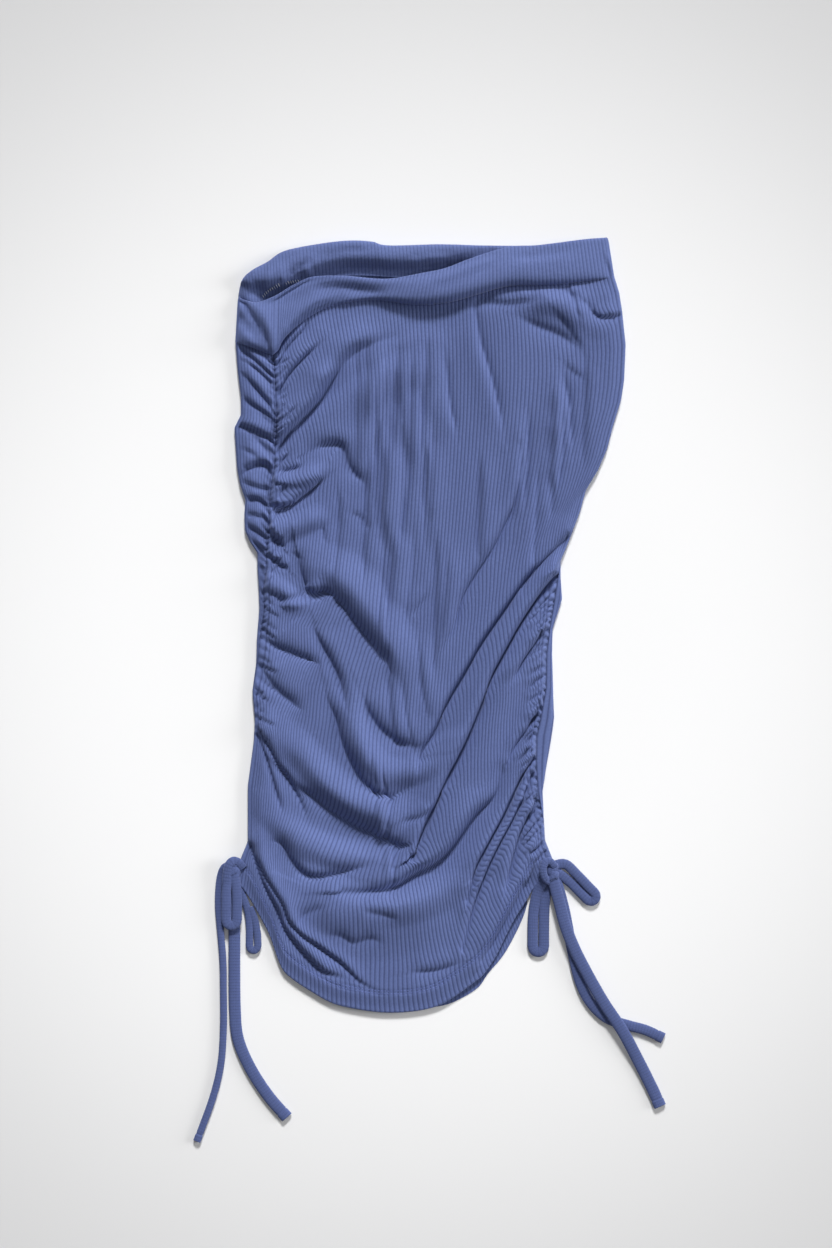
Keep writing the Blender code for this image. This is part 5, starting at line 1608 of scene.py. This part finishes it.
# %% Socket maths
class Wire:
    """A node's output that can be used in expressions."""

    def __init__(self, tree, socket):
        self.tree = tree
        self.socket = socket

    def node(self, kind, settings=None, **sockets):
        """A node of a kind, its settings, then its inputs by name or place."""
        made = self.tree.nodes.new(kind)
        for key, value in (settings or {}).items():
            setattr(made, key, value)
        for key, value in sockets.items():
            numbered = key[0] == "n" and key[1:].isdigit()
            socket = made.inputs[int(key[1:]) if numbered else key.replace("_", " ")]
            if isinstance(value, Wire):
                self.tree.links.new(value.socket, socket)
            else:
                socket.default_value = value
        return made

    def maths(self, operation, first, second=0.0):
        """A Math node on two values."""
        made = self.node("ShaderNodeMath", {"operation": operation}, n0=first, n1=second)
        return Wire(self.tree, made.outputs[0])

    def __add__(self, other):
        return self.maths("ADD", self, other)

    def __sub__(self, other):
        return self.maths("SUBTRACT", self, other)

    def __mul__(self, other):
        return self.maths("MULTIPLY", self, other)

    def __radd__(self, other):
        return self.maths("ADD", other, self)

    def __rsub__(self, other):
        return self.maths("SUBTRACT", other, self)

    def __rmul__(self, other):
        return self.maths("MULTIPLY", other, self)

    def wave(self):
        """Cosine of the value in turns, between 0 and 1."""
        turns = self.maths("COSINE", self * (2 * math.pi))
        return turns * 0.5 + 0.5

    def blend(self, low, high):
        """Colour between low and high by this value."""
        made = self.node("ShaderNodeMix", {"data_type": "RGBA"}, n0=self, n6=low, n7=high)
        return Wire(self.tree, made.outputs[2])


# %% [markdown]
# ## The knit
# Rib jersey has rounded ribs with narrow furrows between them, and the shade in the furrows is
# painted into the colour as a darker blue. Over that lie the knit's own loops, small slanted
# bars a little over a millimetre apart, and the fuzz of the yarn. The colour is a periwinkle
# blue with that painted shade in the furrows, and a little uneven over the cloth.

# %% Knit colours and measures
CLOTH_LIGHT = (0.140, 0.188, 0.412, 1.0)
CLOTH_MID = (0.097, 0.132, 0.306, 1.0)
# Dark blue of the knit's loops, and of the painted shade in the rib furrows
CLOTH_LOOP_TONE_AND_FURROW_SHADE = (0.026, 0.036, 0.110, 1.0)
TIE_MID = (0.074, 0.100, 0.240, 1.0)
SHEEN_TINT = (0.62, 0.70, 1.0, 1.0)
# Strength of the painted shade in the rib furrows, for the panel, the band and the ties
PANEL_FURROW_SHADE = 0.54
BAND_FURROW_SHADE = 0.30
TIE_FURROW_SHADE = 0.25
LOOP_PITCH = 1.25
LOOP_SLANT = 0.8
PATCH_SCALE = 14.0
GRAIN_SCALE = 420.0
FUZZ_SCALE = 1100.0
# Shares of the patches, the grain and the loops in the colour
PATCH_TONE = 0.7
GRAIN_TONE = 0.9
TONE_SHIFT = 0.3
LOOP_DARK = 0.16
# Shares of the loops, the fuzz, the grain and the furrows in the bump
LOOP_HEIGHT = 0.35
FUZZ_HEIGHT = 0.35
GRAIN_HEIGHT = 0.3
FURROW_HEIGHT = 0.6
KNIT_BUMP = 0.55
KNIT_BUMP_DISTANCE = 0.0004
KNIT_ROUGHNESS = 0.92
FURROW_GLOSS = 0.08
KNIT_SPECULAR = 0.22
KNIT_SHEEN = 0.22
KNIT_SHEEN_ROUGHNESS = 0.5


# %% Knit material
def start_material(name):
    """New material: itself, its main shader, a maker of nodes and its place on the object."""
    material = bpy.data.materials.new(name)
    material.use_nodes = True
    tree = material.node_tree
    maker = Wire(tree, None)
    spot = Wire(tree, maker.node("ShaderNodeTexCoord").outputs["Object"])
    return material, tree.nodes["Principled BSDF"], maker, spot


def noise(maker, spot, scale, detail=2.0):
    """Noise of a scale, finer with more detail."""
    made = maker.node("ShaderNodeTexNoise", Vector=spot, Scale=scale, Detail=detail)
    return Wire(maker.tree, made.outputs[0])


def finish_material(maker, shader, colour, height, strength, distance):
    """Joins the colour to the shader, and the height through a bump."""
    bump = maker.node("ShaderNodeBump", Strength=strength, Distance=distance, Height=height)
    maker.tree.links.new(colour.socket, shader.inputs["Base Color"])
    maker.tree.links.new(bump.outputs[0], shader.inputs["Normal"])


def knit_material(name, furrow_shade, light, mid, deep):
    """Rib jersey that reads each point's place in the knit, with painted shade in its furrows."""
    material, shader, maker, spot = start_material(name)
    knit = maker.node("ShaderNodeAttribute", {"attribute_name": "knit"})
    parts = maker.node("ShaderNodeSeparateXYZ", n0=Wire(maker.tree, knit.outputs["Vector"]))
    across = Wire(maker.tree, parts.outputs[0])
    down = Wire(maker.tree, parts.outputs[1])
    patches = noise(maker, spot, PATCH_SCALE, 3.0)
    fuzz = noise(maker, spot, FUZZ_SCALE)
    grain = noise(maker, spot, GRAIN_SCALE)
    valley = across.wave()
    # Mask of the rib furrows: painted shade in the colour, and a dip in the bump
    narrow = valley * valley * valley
    lean = maker.maths("PINGPONG", across, 0.5) * LOOP_SLANT
    loops = (down * (1 / LOOP_PITCH) + lean).wave()
    tone = (patches * PATCH_TONE + grain * GRAIN_TONE - TONE_SHIFT).blend(mid, light)
    # Painted shade darkens the furrows, and the loops add their own darker tone
    colour = (narrow * furrow_shade + loops * LOOP_DARK).blend(tone, deep)
    height = loops * LOOP_HEIGHT + fuzz * FUZZ_HEIGHT + grain * GRAIN_HEIGHT
    height = height - narrow * FURROW_HEIGHT
    finish_material(maker, shader, colour, height, KNIT_BUMP, KNIT_BUMP_DISTANCE)
    rough = KNIT_ROUGHNESS - narrow * FURROW_GLOSS
    maker.tree.links.new(rough.socket, shader.inputs["Roughness"])
    shader.inputs["Specular IOR Level"].default_value = KNIT_SPECULAR
    shader.inputs["Sheen Weight"].default_value = KNIT_SHEEN
    shader.inputs["Sheen Roughness"].default_value = KNIT_SHEEN_ROUGHNESS
    shader.inputs["Sheen Tint"].default_value = SHEEN_TINT
    return material


panel_knit = knit_material("panel_knit", PANEL_FURROW_SHADE, CLOTH_LIGHT, CLOTH_MID, CLOTH_LOOP_TONE_AND_FURROW_SHADE)
band_knit = knit_material("band_knit", BAND_FURROW_SHADE, CLOTH_LIGHT, CLOTH_MID, CLOTH_LOOP_TONE_AND_FURROW_SHADE)
tie_knit = knit_material("tie_knit", TIE_FURROW_SHADE, CLOTH_MID, TIE_MID, CLOTH_LOOP_TONE_AND_FURROW_SHADE)
for piece in (front, back):
    piece.data.materials.append(panel_knit)
band.data.materials.append(band_knit)
for piece in list(ties.values()) + knots:
    piece.data.materials.append(tie_knit)
print("knit materials:", panel_knit.name, band_knit.name, tie_knit.name)

# %% Thread material
THREAD_COLOUR = (0.085, 0.120, 0.330, 1.0)
OVERLOCK_COLOUR = (0.66, 0.70, 0.84, 1.0)
TWIST_SCALE = 2400.0
TWIST_PALER = 1.5
TWIST_BUMP = 0.4
TWIST_BUMP_DISTANCE = 0.0001
THREAD_ROUGHNESS = 0.6


def thread_material(name, colour):
    """Spun sewing thread: a twist along the strand and a soft shine."""
    material, shader, maker, spot = start_material(name)
    twist = noise(maker, spot, TWIST_SCALE)
    paler = tuple(min(1.0, part * TWIST_PALER) for part in colour[:3]) + (1.0,)
    mixed = twist.blend(colour, paler)
    finish_material(maker, shader, mixed, twist, TWIST_BUMP, TWIST_BUMP_DISTANCE)
    shader.inputs["Roughness"].default_value = THREAD_ROUGHNESS
    return material


hem_stitches.data.materials.append(thread_material("hem_thread", THREAD_COLOUR))
overlock.data.materials.append(thread_material("overlock_thread", OVERLOCK_COLOUR))

# %% [markdown]
# ## What the cloth was before it was sewn
# The panels are longer than they lie, because the drawstrings gather them, and the band is
# cut double.

# %% [markdown]
# ## Table and light
# The ground is a plain pale sheet with painted shade that darkens it gently away from the
# middle, as paper does under a soft box. The key light stands beyond the waist and a little to
# the right, low enough to draw the creases. A weaker and wider one lies low at the right, and
# the fill comes from above and all round.

# %% Ground
GROUND_SIZE = 6.0
GROUND_DROP = 0.0004
GROUND_LIGHT = (0.94, 0.94, 0.945, 1.0)
GROUND_SHADED_EDGE = (0.62, 0.62, 0.625, 1.0)
GROUND_SHADE_FADE = (0.24, 0.80)
GROUND_CELLS = 8
GROUND_ROUGHNESS = 0.9
GROUND_SPECULAR = 0.1


def add_ground():
    """Flat pale ground just under the skirt, with painted shade darkening it away from the
    middle.
    """
    shape = bmesh.new()
    bmesh.ops.create_grid(shape, x_segments=GROUND_CELLS, y_segments=GROUND_CELLS,
                          size=GROUND_SIZE / 2)
    mesh = bpy.data.meshes.new("ground")
    shape.to_mesh(mesh)
    shape.free()
    ground = add_object("ground", mesh)
    ground.location.z = -GROUND_DROP
    material, shader, maker, spot = start_material("ground_paper")
    # Painted shade: the ground's colour darkens with distance from the middle, as under a soft
    # box
    length = maker.node("ShaderNodeVectorMath", {"operation": "LENGTH"}, n0=spot)
    far = maker.node("ShaderNodeMapRange", {"interpolation_type": "SMOOTHSTEP"},
                     Value=Wire(maker.tree, length.outputs["Value"]),
                     From_Min=GROUND_SHADE_FADE[0], From_Max=GROUND_SHADE_FADE[1])
    colour = Wire(maker.tree, far.outputs[0]).blend(GROUND_LIGHT, GROUND_SHADED_EDGE)
    maker.tree.links.new(colour.socket, shader.inputs["Base Color"])
    shader.inputs["Roughness"].default_value = GROUND_ROUGHNESS
    shader.inputs["Specular IOR Level"].default_value = GROUND_SPECULAR
    mesh.materials.append(material)
    return ground


ground = add_ground()

# %% Lights
SUN_TOWARDS = (0.10, 1.00, 0.62)
SUN_STRENGTH = 3.65
SUN_ANGLE = 12.0
SIDE_TOWARDS = (1.00, 0.15, 0.32)
SIDE_STRENGTH = 1.9
SIDE_ANGLE = 26.0
TOP_SIZE = 2.4
TOP_WATTS = 9.0
TOP_HEIGHT = 3.1
AMBIENT = 0.17


def add_light(name, kind, position, energy):
    """Light of a kind that shines at the middle of the skirt from a position."""
    data = bpy.data.lights.new(name, kind)
    data.energy = energy
    light = add_object(name, data)
    light.location = position
    light.rotation_euler = Vector(position).to_track_quat("Z", "Y").to_euler()
    return data


window = add_light("window", "SUN", SUN_TOWARDS, SUN_STRENGTH)
window.angle = math.radians(SUN_ANGLE)
side_window = add_light("side_window", "SUN", SIDE_TOWARDS, SIDE_STRENGTH)
side_window.angle = math.radians(SIDE_ANGLE)
overhead = add_light("overhead", "AREA", (0.0, 0.0, TOP_HEIGHT), TOP_WATTS)
overhead.size = TOP_SIZE
print("lights:", window.name, side_window.name, overhead.name)

# %% Light from all round
world = bpy.data.worlds.new("soft_room")
world.use_nodes = True
room = world.node_tree.nodes["Background"]
room.inputs["Color"].default_value = (1.0, 1.0, 1.0, 1.0)
room.inputs["Strength"].default_value = AMBIENT
bpy.context.scene.world = world
bpy.context.scene.view_settings.view_transform = "Standard"
print("room light:", AMBIENT)
